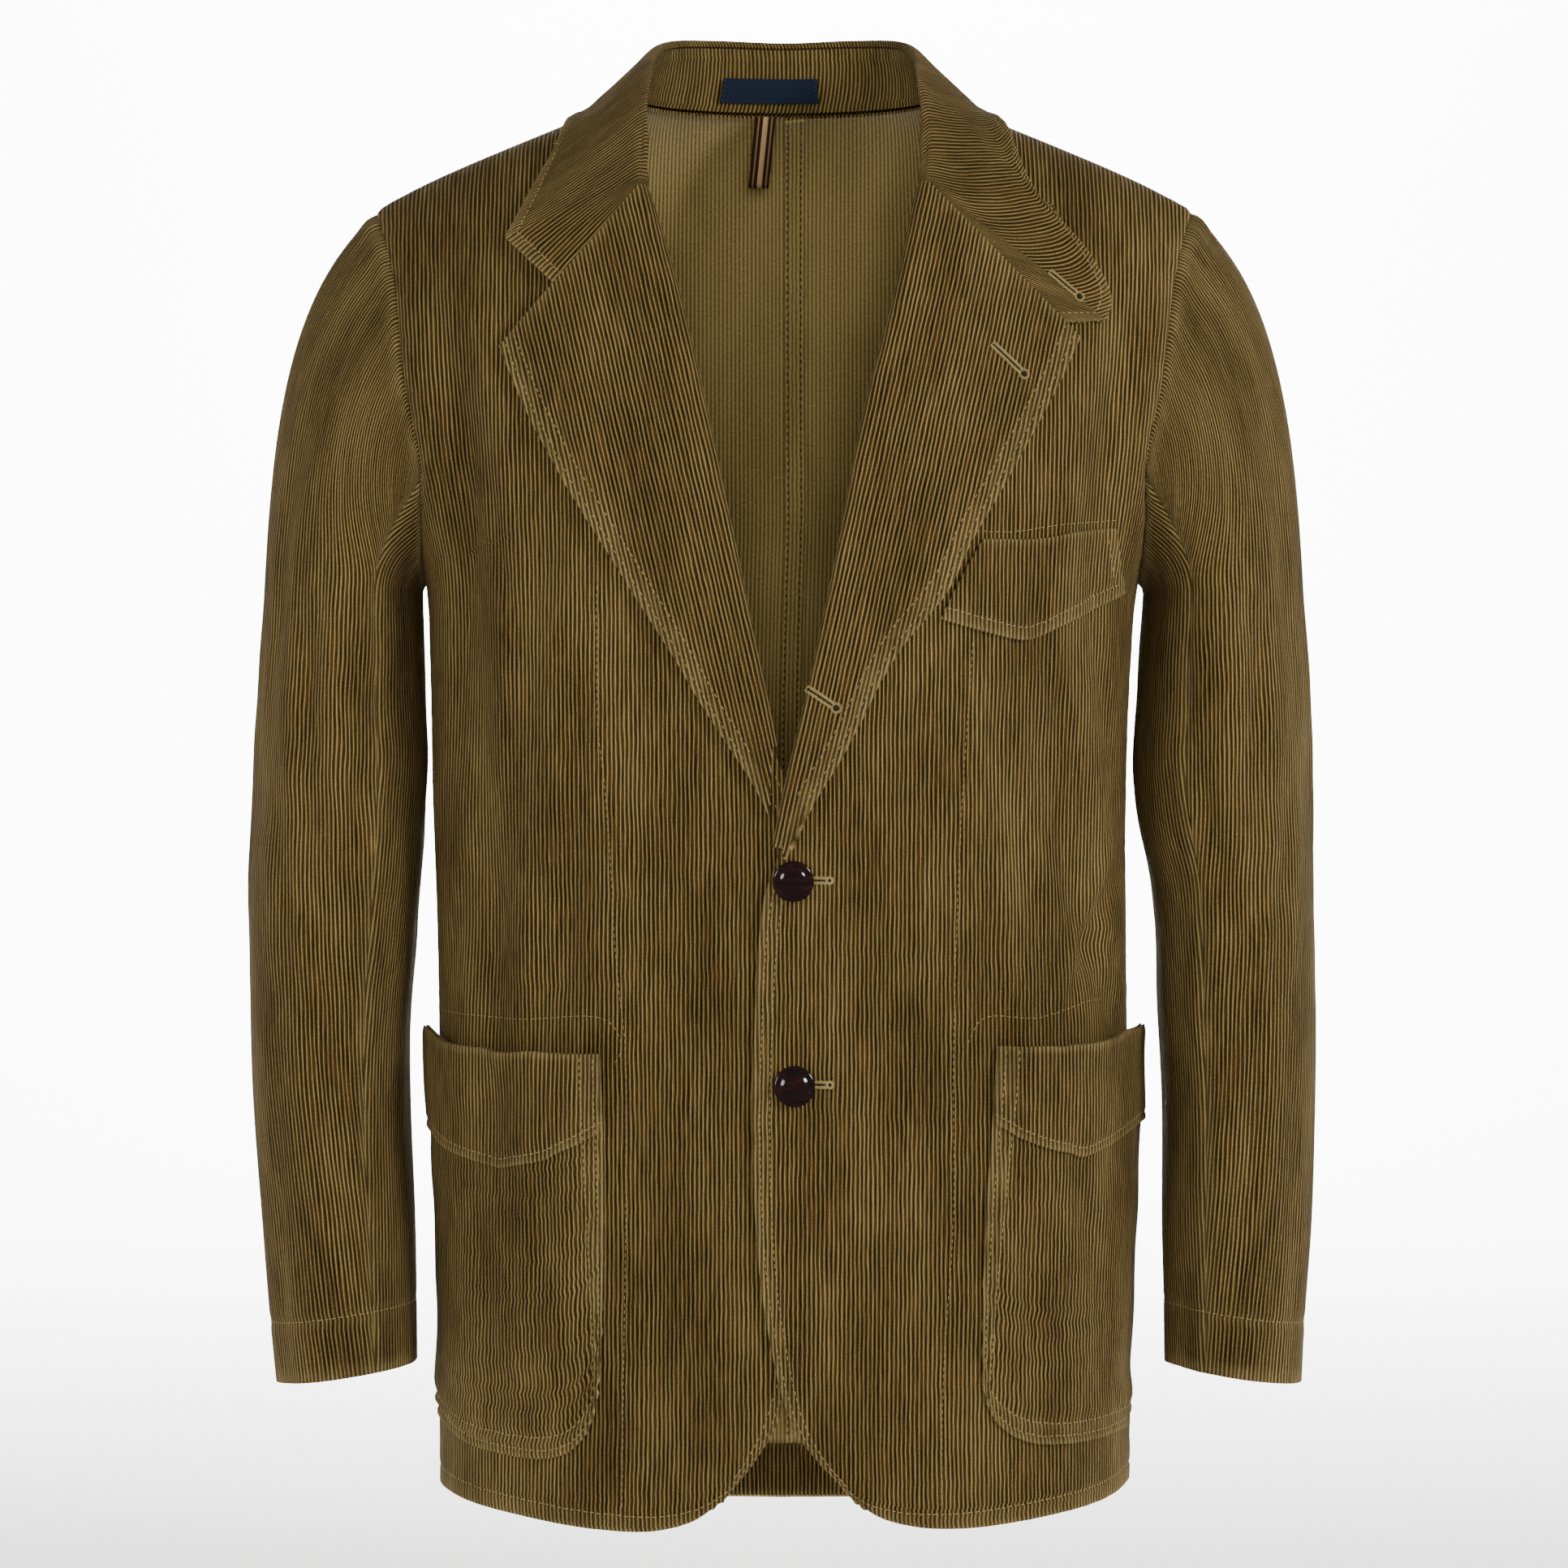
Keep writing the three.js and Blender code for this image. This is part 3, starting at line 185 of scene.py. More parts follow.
fineCreases = [  # the same columns, for lines too thin for the frame
    (-1, -150, -250, 70, 5, -0.18, 1.5),
    (-1, -176, -300, 90, 5, 0.05, 1.6),
    (-1, -112, -400, 80, 6, 0.04, 1.2),
    (-1, -178, -455, 60, 6, 0.12, 1.4),
    (-1, -60, -470, 70, 7, -0.05, 0.9),
    (-1, -128, -612, 70, 7, 0.1, 1),
    (-1, -160, -640, 60, 7, -0.08, 1.2),
    (-1, -50, -700, 50, 8, 0.15, 0.9),
    (-1, 173, -330, 80, 5, -0.12, 1.7),
    (-1, 146, -320, 60, 5, -0.28, 1.3),
    (-1, 112, -455, 60, 6, -0.12, 1.1),
    (-1, 172, -470, 55, 6, -0.35, 1.5),
    (-1, 60, -480, 80, 7, 0.06, 0.9),
    (-1, 130, -640, 70, 7, -0.14, 1.3),
    (-1, 158, -600, 60, 6, -0.2, 1.2),
    (-1, 52, -690, 60, 8, -0.1, 0.9),
    (-1, 190, -120, 55, 5, 0.2, 1.5),
    (-1, -192, -110, 55, 5, -0.2, 1.5),
    (1, -100, -210, 90, 7, -0.15, 1.5),
    (1, 96, -200, 90, 7, 0.16, 1.4),
    (1, -20, -330, 90, 8, 0.08, 1.3),
    (1, 26, -520, 110, 8, -0.06, 1.3),
    (1, -140, -520, 80, 8, 0.1, 1.3),
    (1, 150, -560, 80, 8, -0.1, 1.3),
    (1, -170, -260, 70, 6, -0.1, 1.5),
    (1, 172, -250, 70, 6, 0.12, 1.5),
]
drape = {
    "crease": 1.9, "ripple": 2.1, "across": 0.026, "down": 0.0045,
    "soft": 2.2, "softAcross": 0.011, "softDown": 0.006,
}

sectionsByHeight = {}


def section(z):
    key = round(z, 2)
    if key not in sectionsByHeight:
        sectionsByHeight[key] = [along(bodySections, z, k) for k in range(1, 6)]
    return sectionsByHeight[key]


def shoulderZ(x):
    out = abs(x) - shoulder["neckX"]
    if out < 0:
        bend = (abs(x) + shoulder["neckX"]) / (2 * shoulder["neckX"])
        return shoulder["neckZ"] - shoulder["slope"] * out * bend
    reach = shoulder["tipX"] - shoulder["neckX"]
    return shoulder["neckZ"] - shoulder["slope"] * out - shoulder["tipDrop"] * (out / reach) ** 6


def fullDepthDrop(face, x):
    if face < 0:
        return depthDrop["front"]
    share = smooth(abs(x), depthDrop["from"], depthDrop["to"])
    return lerp(depthDrop["backNeck"], depthDrop["backShoulder"], share)


def formPoint(face, x, z):
    half, shift, front, back, mid = section(z)
    across = min(abs((x - shift) / half), 1)
    below = max(shoulderZ(x) - z, 0)
    toFull = 1 - min(below / fullDepthDrop(face, x), 1)
    drop = math.sqrt(1 - toFull * toFull)
    rounded = (1 - across**sideRoundness) ** (1 / sideRoundness)
    return Vector((x, mid + face * (front if face < 0 else back) * drop * rounded, z))


def turnOf(x, z):
    half, shift = section(z)[:2]
    return math.asin(min(max((x - shift) / half, -1), 1))


def creaseDepth(face, x, z):
    depth = 0
    for table, ridge in ((creases, 0.35), (fineCreases, 0.5)):
        for way, cx, cz, length, width, lean, deep in table:
            if way != face:
                continue
            run = (z - cz) / length
            off = (x - cx - lean * (z - cz)) / width
            if abs(run) < 2.4 and abs(off) < 6:
                profile = math.exp(-off * off) - ridge * math.exp(-off * off / 6)
                depth += deep * profile * math.exp(-run * run)
    return depth


def drapeHeight(face, x, z):
    fine = noise.noise(Vector((x * drape["across"], face * 3.7, z * drape["down"])))
    soft = noise.noise(Vector((x * drape["softAcross"], 9 + face * 3.7, z * drape["softDown"])))
    return fine * drape["ripple"] + soft * drape["soft"]


# A point of the body cloth's outer face, given how far round it is and its height
def bodyPoint(face, turn, z):
    half, shift = section(z)[:2]
    x = shift + half * math.sin(turn)
    point = formPoint(face, x, z)
    inward = Vector((-math.sin(turn), -face * math.cos(turn), 0))
    fade = smooth(abs(math.cos(turn)), 0, 0.25) * smooth(shoulderZ(x) - z, 10, 60)
    return point + inward * (drape["crease"] * creaseDepth(face, x, z) - drapeHeight(face, x, z)) * fade


def onBody(face, turns):
    return [[bodyPoint(face, *place) for place in row] for row in turns]


def onTurns(place):
    return turnOf(*place), place[1]


def turnRoute(places):
    curve = route([Vector((x, 0, z)) for x, z in places])
    return lambda t: onTurns((curve(t).x, curve(t).z))


# A grid of [turn, z] between four edges
def patchGrid(us, vs, bottom, top, start, end):
    low = [bottom(u) for u in us]
    high = [top(u) for u in us]
    near = [start(v) for v in vs]
    far = [end(v) for v in vs]
    corners = bottom(0), bottom(1), top(0), top(1)

    def pick(i, j, k):
        u, v = us[i], vs[j]
        flat = (1 - v) * lerp(corners[0][k], corners[1][k], u) + v * lerp(corners[2][k], corners[3][k], u)
        return (1 - v) * low[i][k] + v * high[i][k] + lerp(near[j][k], far[j][k], u) - flat

    return [[(pick(i, j, 0), pick(i, j, 1)) for i in range(len(us))] for j in range(len(vs))]


def normalsOf(grid, outward):
    rows, columns = len(grid) - 1, len(grid[0]) - 1
    result = []
    for j, row in enumerate(grid):
        line = []
        for i in range(columns + 1):
            across = row[min(i + 1, columns)] - row[max(i - 1, 0)]
            up = grid[min(j + 1, rows)][i] - grid[max(j - 1, 0)][i]
            line.append(across.cross(up).normalized() * outward)
        result.append(line)
    return result


# Distances from each edge of a grid, measured on the cloth
def reaches(grid):
    rows, columns = len(grid), len(grid[0])
    start = [[0.0] * columns for _ in grid]
    bottom = [[0.0] * columns for _ in grid]
    for j in range(rows):
        for i in range(1, columns):
            start[j][i] = start[j][i - 1] + (grid[j][i] - grid[j][i - 1]).length
    for j in range(1, rows):
        for i in range(columns):
            bottom[j][i] = bottom[j - 1][i] + (grid[j][i] - grid[j - 1][i]).length
    return start, bottom


def moved(grid, normals, height):
    return [[p + normals[j][i] * height(j, i) for i, p in enumerate(row)] for j, row in enumerate(grid)]


# Turns a grid of points into a mesh object, with its place in the cut cloth as a UV map
def clothMesh(name, grid, outward, cut, wear=None):
    rows, columns = len(grid), len(grid[0])
    bm = bmesh.new()
    bmesh.ops.create_grid(bm, x_segments=columns - 1, y_segments=rows - 1, size=1)
    place = {}
    worn = bm.verts.layers.float.new("wear")
    for v in bm.verts:
        i = round((v.co.x + 1) / 2 * (columns - 1))
        j = round((v.co.y + 1) / 2 * (rows - 1))
        place[v] = (i, j)
        v[worn] = wear(j, i) if wear else 0
    layer = bm.loops.layers.uv.new("cut")
    for face in bm.faces:
        face.smooth = True
        for loop in face.loops:
            i, j = place[loop.vert]
            loop[layer].uv = cut[j][i]
    for v, (i, j) in place.items():
        v.co = grid[j][i] * mm
    if outward < 0:
        bmesh.ops.reverse_faces(bm, faces=bm.faces[:])
    mesh = bpy.data.meshes.new(name)
    bm.to_mesh(mesh)
    bm.free()
    piece = bpy.data.objects.new(name, mesh)
    bpy.context.scene.collection.objects.link(piece)
    return piece


# Gives a sheet its wall, with the wrong side of the cloth inside and a soft rim
def thicken(piece, wall, outside, inside, rim=0.5):
    piece.data.materials.append(outside)
    piece.data.materials.append(inside)
    solid = piece.modifiers.new("wall", "SOLIDIFY")
    solid.thickness = wall * mm
    solid.offset = -1
    solid.material_offset = 1
    solid.material_offset_rim = 0
    soft = piece.modifiers.new("softRim", "BEVEL")
    soft.width = rim * mm
    soft.segments = 2
    soft.limit_method = "ANGLE"
    soft.angle_limit = math.radians(55)
    soft.harden_normals = False


# Places in the cut cloth, in metres, from how far each point is across it and up it
def flatCut(across, upward):
    return [[(a * mm, b * mm) for a, b in zip(*rows)] for rows in zip(across, upward)]


# Width and length of a grid as it was cut, in metres, and its flat area in square metres
def cutSize(grid):
    area = 0
    for low, high in zip(grid, grid[1:]):
        for i in range(len(low) - 1):
            area += ((low[i + 1] - low[i]).cross(high[i] - low[i])).length / 2
            area += ((high[i] - high[i + 1]).cross(low[i + 1] - high[i + 1])).length / 2
    start, bottom = reaches(grid)
    width = max(row[-1] for row in start) * mm
    length = max(bottom[-1]) * mm
    return (width, length), min(area * mm * mm, width * length)


def declareCloth(piece, node, grid):
    flat, area = cutSize(grid)
    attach(piece, "root")
    if node:
        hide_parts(node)
    print(" ", piece.name, len(piece.data.vertices), [round(x, 3) for x in flat], round(area, 4))


print("finishes")
# groove is painted shade at the foot of each wale and crest is a painted highlight on its top; low, high, red
# and faded are the cloth's own tones
corduroy = {
    "pitch": 2.35, "groove": (0.009, 0.0045, 0.0008), "low": (0.040, 0.024, 0.0052),
    "high": (0.088, 0.059, 0.0150), "crest": (0.245, 0.176, 0.063), "red": (0.085, 0.034, 0.007),
    "faded": (0.25, 0.185, 0.072), "depth": 0.8, "wander": 1.9,
}
wrongSide = {"ground": (0.185, 0.132, 0.042), "light": (0.40, 0.30, 0.115), "dark": (0.060, 0.040, 0.010)}


def ramp(nodes, stops):
    node = nodes.new("ShaderNodeValToRGB")
    elements = node.color_ramp.elements
    for k, (at, colour) in enumerate(stops):
        element = elements[k] if k < 2 else elements.new(at)
        element.position = at
        element.color = (*colour, 1) if len(colour) == 3 else colour
    return node


# Joins nodes in one tree
class Wires:
    def __init__(self, tree):
        self.nodes, self.links = tree.nodes, tree.links

    def add(self, kind, **values):
        node = self.nodes.new(kind)
        for key, value in values.items():
            setattr(node, key, value)
        return node

    def join(self, a, b):
        self.links.new(a, b)

    def maths(self, operation, a, b=None, c=None):
        node = self.nodes.new("ShaderNodeMath")
        node.operation = operation
        for k, value in enumerate((a, b, c)):
            if value is None:
                continue
            if isinstance(value, (int, float)):
                node.inputs[k].default_value = value
            else:
                self.links.new(value, node.inputs[k])
        return node.outputs[0]

    def noise(self, vector, scale, detail=2, roughness=0.5):
        node = self.nodes.new("ShaderNodeTexNoise")
        node.inputs["Scale"].default_value = scale
        node.inputs["Detail"].default_value = detail
        node.inputs["Roughness"].default_value = roughness
        self.links.new(vector, node.inputs["Vector"])
        return node.outputs["Fac"]

    def mix(self, factor, a, b, blend="MIX"):
        node = self.nodes.new("ShaderNodeMix")
        node.data_type = "RGBA"
        node.blend_type = blend
        for socket, value in ((node.inputs["Factor"], factor), (node.inputs[6], a), (node.inputs[7], b)):
            if isinstance(value, tuple):
                socket.default_value = (*value, 1)
            elif isinstance(value, (int, float)):
                socket.default_value = value
            else:
                self.links.new(value, socket)
        return node.outputs[2]

    def stretched(self, vector, scale):
        node = self.nodes.new("ShaderNodeMapping")
        node.inputs["Scale"].default_value = scale
        self.links.new(vector, node.inputs["Vector"])
        return node.outputs[0]


# The wales of corduroy in the cut cloth: colour with painted shade in the grooves and painted highlights on
# the crests, and height and roughness
def buildWales():
    group = bpy.data.node_groups.new("wales", "ShaderNodeTree")
    face = group.interface
    for name, kind in (("Pitch", "NodeSocketFloat"), ("Fade", "NodeSocketFloat")):
        face.new_socket(name=name, in_out="INPUT", socket_type=kind)
    outputs = {"Color": "NodeSocketColor", "Height": "NodeSocketFloat", "Roughness": "NodeSocketFloat"}
    for name, kind in outputs.items():
        face.new_socket(name=name, in_out="OUTPUT", socket_type=kind)
    w = Wires(group)
    given = w.add("NodeGroupInput")
    out = w.add("NodeGroupOutput")
    cut = w.add("ShaderNodeUVMap", uv_map="cut").outputs[0]
    split = w.add("ShaderNodeSeparateXYZ")
    w.join(cut, split.inputs[0])

    wander = w.maths("SUBTRACT", w.noise(w.stretched(cut, (95, 30, 1)), 1, 2), 0.5)
    wander = w.maths("MULTIPLY", wander, corduroy["wander"] * mm)
    place = w.maths("DIVIDE", w.maths("ADD", split.outputs[0], wander), given.outputs["Pitch"])
    saw = w.maths("MULTIPLY", w.maths("PINGPONG", place, 0.5), 2)          # 0 in a groove, 1 on a crest
    ridge = w.maths("SMOOTH_MIN", w.maths("MULTIPLY", saw, 1.25), 1, 0.35)
    crest = w.maths("POWER", saw, 1.35)

    pile = w.noise(w.stretched(cut, (2300, 1500, 1)), 1, 2, 0.6)           # tufts of the pile
    lean = w.noise(w.stretched(cut, (900, 46, 1)), 1, 2, 0.6)              # runs along a wale
    patches = w.noise(w.stretched(cut, (30, 9, 1)), 1, 4, 0.62)            # brushed and crushed nap
    broad = w.noise(w.stretched(cut, (7, 3.2, 1)), 1, 3, 0.5)

    # Painted light and shade across each wale, dark in the groove and light on the crest, mixed with the real
    # tone of the pile, its lean and its patches
    lit = w.maths("ADD", crest, w.maths("MULTIPLY", w.maths("SUBTRACT", lean, 0.5), 0.5))
    lit = w.maths("ADD", lit, w.maths("MULTIPLY", w.maths("SUBTRACT", pile, 0.5), 1.15))
    lit = w.maths("ADD", lit, w.maths("MULTIPLY", w.maths("SUBTRACT", patches, 0.5), 0.75))
    tone = ramp(group.nodes, [
        (0.02, corduroy["groove"]), (1.0, corduroy["crest"]),
        (0.35, corduroy["low"]), (0.68, corduroy["high"]),
    ])
    w.join(lit, tone.inputs[0])
    redness = w.maths("MULTIPLY", w.maths("SUBTRACT", lean, 0.47), 3.2)
    redness = w.maths("MINIMUM", w.maths("MAXIMUM", redness, 0), 0.5)
    redness = w.maths("MULTIPLY", redness, w.maths("SUBTRACT", 1, ridge))
    colour = w.mix(redness, tone.outputs[0], corduroy["red"])
    shade = w.maths("ADD", 0.74, w.maths("MULTIPLY", broad, 0.52))
    grey = w.add("ShaderNodeCombineColor")
    for k in range(3):
        w.join(shade, grey.inputs[k])
    colour = w.mix(1.0, colour, grey.outputs[0], "MULTIPLY")
    worn = w.add("ShaderNodeAttribute", attribute_name="wear").outputs["Fac"]
    thin = w.maths("MULTIPLY", w.maths("MULTIPLY", worn, given.outputs["Fade"]), w.maths("ADD", 0.3, crest))
    speckle = w.maths("ADD", w.maths("MULTIPLY", pile, 1.5), w.maths("SUBTRACT", lean, 0.45))
    thin = w.maths("MULTIPLY", thin, speckle)
    colour = w.mix(w.maths("MINIMUM", thin, 0.8), colour, corduroy["faded"])

    height = w.maths("ADD", ridge, w.maths("MULTIPLY", pile, 0.32))
    height = w.maths("ADD", height, w.maths("MULTIPLY", patches, 0.3))
    rough = w.maths("ADD", 0.8, w.maths("MULTIPLY", pile, 0.18))
    w.join(colour, out.inputs["Color"])
    w.join(height, out.inputs["Height"])
    w.join(rough, out.inputs["Roughness"])
    return group


# The woven wrong side: fine twill ribs without pile
def buildTwill():
    group = bpy.data.node_groups.new("twill", "ShaderNodeTree")
    face = group.interface
    face.new_socket(name="Pitch", in_out="INPUT", socket_type="NodeSocketFloat")
    for name, kind in (("Color", "NodeSocketColor"), ("Height", "NodeSocketFloat")):
        face.new_socket(name=name, in_out="OUTPUT", socket_type=kind)
    w = Wires(group)
    given = w.add("NodeGroupInput")
    out = w.add("NodeGroupOutput")
    cut = w.add("ShaderNodeUVMap", uv_map="cut").outputs[0]
    split = w.add("ShaderNodeSeparateXYZ")
    w.join(cut, split.inputs[0])
    saw = w.maths("PINGPONG", w.maths("DIVIDE", split.outputs[0], given.outputs["Pitch"]), 0.5)
    slant = w.maths("ADD", w.maths("MULTIPLY", split.outputs[0], 0.8), split.outputs[1])
    twill = w.maths("PINGPONG", w.maths("DIVIDE", slant, 0.0011), 0.5)
    yarn = w.noise(w.stretched(cut, (1600, 700, 1)), 1, 2, 0.6)
    cloud = w.noise(w.stretched(cut, (14, 7, 1)), 1, 3, 0.55)
    lit = w.maths("ADD", w.maths("MULTIPLY", saw, 1.2), w.maths("MULTIPLY", twill, 0.25))
    lit = w.maths("ADD", lit, w.maths("MULTIPLY", w.maths("SUBTRACT", yarn, 0.5), 0.8))
    lit = w.maths("ADD", lit, w.maths("MULTIPLY", w.maths("SUBTRACT", cloud, 0.4), 0.5))
    tone = ramp(group.nodes, [
        (0.0, wrongSide["dark"]), (0.85, wrongSide["light"]), (0.35, wrongSide["ground"]),
    ])
    w.join(lit, tone.inputs[0])
    w.join(tone.outputs[0], out.inputs["Color"])
    w.join(w.maths("ADD", saw, w.maths("MULTIPLY", yarn, 0.6)), out.inputs["Height"])
    return group


wales = buildWales()
twill = buildTwill()


def corduroyFinish(name, depth=corduroy["depth"], fade=0.6, pitch=corduroy["pitch"], sheen=0.07):
    material = bpy.data.materials.new(name)
    material.use_nodes = True
    w = Wires(material.node_tree)
    shader = w.nodes["Principled BSDF"]
    rib = w.add("ShaderNodeGroup", node_tree=wales)
    rib.inputs["Pitch"].default_value = pitch * mm
    rib.inputs["Fade"].default_value = fade
    bump = w.add("ShaderNodeBump")
    bump.inputs["Strength"].default_value = 0.9
    bump.inputs["Distance"].default_value = depth * mm
    w.join(rib.outputs["Color"], shader.inputs["Base Color"])
    w.join(rib.outputs["Roughness"], shader.inputs["Roughness"])
    w.join(rib.outputs["Height"], bump.inputs["Height"])
    w.join(bump.outputs[0], shader.inputs["Normal"])
    shader.inputs["Specular IOR Level"].default_value = 0.1
    shader.inputs["Sheen Weight"].default_value = sheen
    shader.inputs["Sheen Roughness"].default_value = 0.45
    shader.inputs["Sheen Tint"].default_value = (0.62, 0.5, 0.3, 1)
    return material


def wrongSideFinish():
    material = bpy.data.materials.new("wrongSide")
    material.use_nodes = True
    w = Wires(material.node_tree)
    shader = w.nodes["Principled BSDF"]
    rib = w.add("ShaderNodeGroup", node_tree=twill)
    rib.inputs["Pitch"].default_value = corduroy["pitch"] * mm
    bump = w.add("ShaderNodeBump")
    bump.inputs["Strength"].default_value = 0.7
    bump.inputs["Distance"].default_value = 0.3 * mm
    w.join(rib.outputs["Color"], shader.inputs["Base Color"])
    w.join(rib.outputs["Height"], bump.inputs["Height"])
    w.join(bump.outputs[0], shader.inputs["Normal"])
    shader.inputs["Roughness"].default_value = 0.94
    shader.inputs["Specular IOR Level"].default_value = 0.15
    shader.inputs["Sheen Weight"].default_value = 0.15
    return material


rightSide = corduroyFinish("corduroy")
collarCloth = corduroyFinish("collarCorduroy", depth=0.65)
inside = wrongSideFinish()

print("fronts and backs")
frontArmhole = [(-48.6, 61.4), (-70, 59.3), (-90, 58.6), (-112, 58.8), (-144, 60.2), (-185, 61.3),
                (-200, 63.7), (-220, 69.7), (-238, 76), (-250, 83), (-255, 90)]  # height, degrees round
backArmhole = [(-48.6, 61.4), (-70, 58.5), (-90, 57), (-120, 56.5), (-150, 58), (-180, 61),
               (-205, 66), (-228, 73), (-245, 81), (-255, 90)]
frontEdges = {  # height, x, from the neck down the roll line to the hem corner
    "left": [(-43.4, 71.2), (-103.8, 58.3), (-165.9, 42.5), (-226.7, 31), (-288, 18.5), (-333, 8.2),
             (-374, -1.5), (-407.8, -7.3), (-445.5, -13), (-511, -16.4), (-555, -16.9), (-603, -15.1),
             (-642, -11.2), (-692, -1.3), (-713, 7.3), (-728.6, 18.6), (-747.6, 36.3)],
    "right": [(-45, -72.7), (-70.5, -64.7), (-103.8, -55.4), (-148.3, -45), (-196, -34.6), (-242.7, -24.8),
              (-289, -15.2), (-322.8, -7.4), (-357, 0.4), (-395, 10), (-430, 16), (-511, 17), (-603, 16),
              (-665, 9), (-703.8, -2), (-725, -13.4), (-747.9, -31)],
}
frontHems = {  # x, height
    "left": [(36.3, -747.6), (49.7, -757.7), (68.7, -763.5), (88.3, -765), (117.6, -763.3), (147.4, -759.2),
             (174, -754.6), (191.1, -749)],
    "right": [(-31, -747.9), (-46.2, -759.6), (-65.3, -765.5), (-94.4, -765.3), (-133.6, -760.7),
              (-164, -755.7), (-181.3, -751), (-189.4, -749)],
}
frontNecks = {  # height, x
    "left": [(14, 85), (0, 82.4), (-20, 80), (-43.4, 77)],
    "right": [(14, -85), (0, -82.4), (-20, -80.4), (-45, -78.6)],
}
overlap = {"height": 3.4, "full": 22, "gone": 70, "below": -335, "above": -290}
edgeStitch = {"front": (4.5, 10.5), "hem": 9, "groove": 0.85, "width": 1.1, "pucker": 0.7, "wave": 10}
lapelRollEnds = {"left": -400, "right": -347}
lapelCurl = {"atBreak": 2.6, "atNeck": 3.8, "gap": 1.3}
backHemShare = 2.2
felled = (2.2, 10.2)  # stitches of the seam down the middle of the back
turnUp = {"from": 1.2, "deep": 31, "stitch": 23, "gap": 0.4, "wall": 1.2, "pucker": 0.5}
panelTop = shoulder["tipZ"]


def outerEdge(face, side):
    table = frontArmhole if face < 0 else backArmhole

    def at(v):
        z = lerp(hems["sideZ"], panelTop, v)
        return side * math.radians(90 if z <= hems["underarmZ"] else along(table, z)), z

    return at


def shoulderSeam(side):
    def at(t):
        x = side * lerp(shoulder["neckX"], shoulder["tipX"], t)
        return turnOf(x, shoulderZ(x)), shoulderZ(x)

    return at


def curlRadius(key, z):
    share = (z - lapelRollEnds[key]) / (frontEdges[key][0][0] - lapelRollEnds[key])
    return lerp(lapelCurl["atBreak"], lapelCurl["atNeck"], min(max(share, 0), 1))


def panelEdge(side, key, z):
    if z > frontEdges[key][0][0]:
        return along(frontNecks[key], z)
    end = lapelRollEnds[key]
    inset = (lapelCurl["gap"] + curlRadius(key, z)) * smooth(z, end - 30, end)
    return along(frontEdges[key], z) + side * inset


def overlapHeight(x, z):
    across = 1 - smooth(x, overlap["full"], overlap["gone"])
    return overlap["height"] * across * (1 - smooth(z, overlap["below"], overlap["above"]))


# How rubbed the nap is, most on an edge and a little where layers lie under it
def rubbed(reach, layers=11):
    return hump(reach, 0, 1.8) + 0.45 * (1 - smooth(reach, layers - 3, layers + 2))


# Wear in a band along an edge, broken into patches
def worn(band, point, level=0.8, spread=0.7, pace=0.1):
    return min(1, band * (level + spread * noise.noise(point * pace)))


# Seams sink, and cloth between lines of topstitching puckers
def seamDip(reach):
    return -cloth["seamDip"] * hump(reach, 0, cloth["seamWidth"])


def stitchGroove(reach, offsets):
    deep, width = edgeStitch["groove"], edgeStitch["width"]
    return -sum(deep * hump(reach, at, width) for at in offsets)


def pucker(reach, way, deep, seed, fade=13):
    swing = noise.noise(Vector((way / edgeStitch["wave"] * 1.4, seed, reach * 0.02)))
    swing += 0.6 * noise.noise(Vector((way / edgeStitch["wave"] * 3.1, seed + 5, 0)))
    return deep * swing * hump(reach, 0, fade)


# Place in the cut cloth: x across the wales from a datum, measured level along each row
def levelCut(grid, datum):
    cut = []
    for row in grid:
        across = [0.0]
        for a, b in zip(row, row[1:]):
            across.append(across[-1] + math.hypot(b.x - a.x, b.y - a.y))
        cut.append([((datum(row[0]) + x) * mm, p.z * mm) for x, p in zip(across, row)])
    return cut


panels = {}


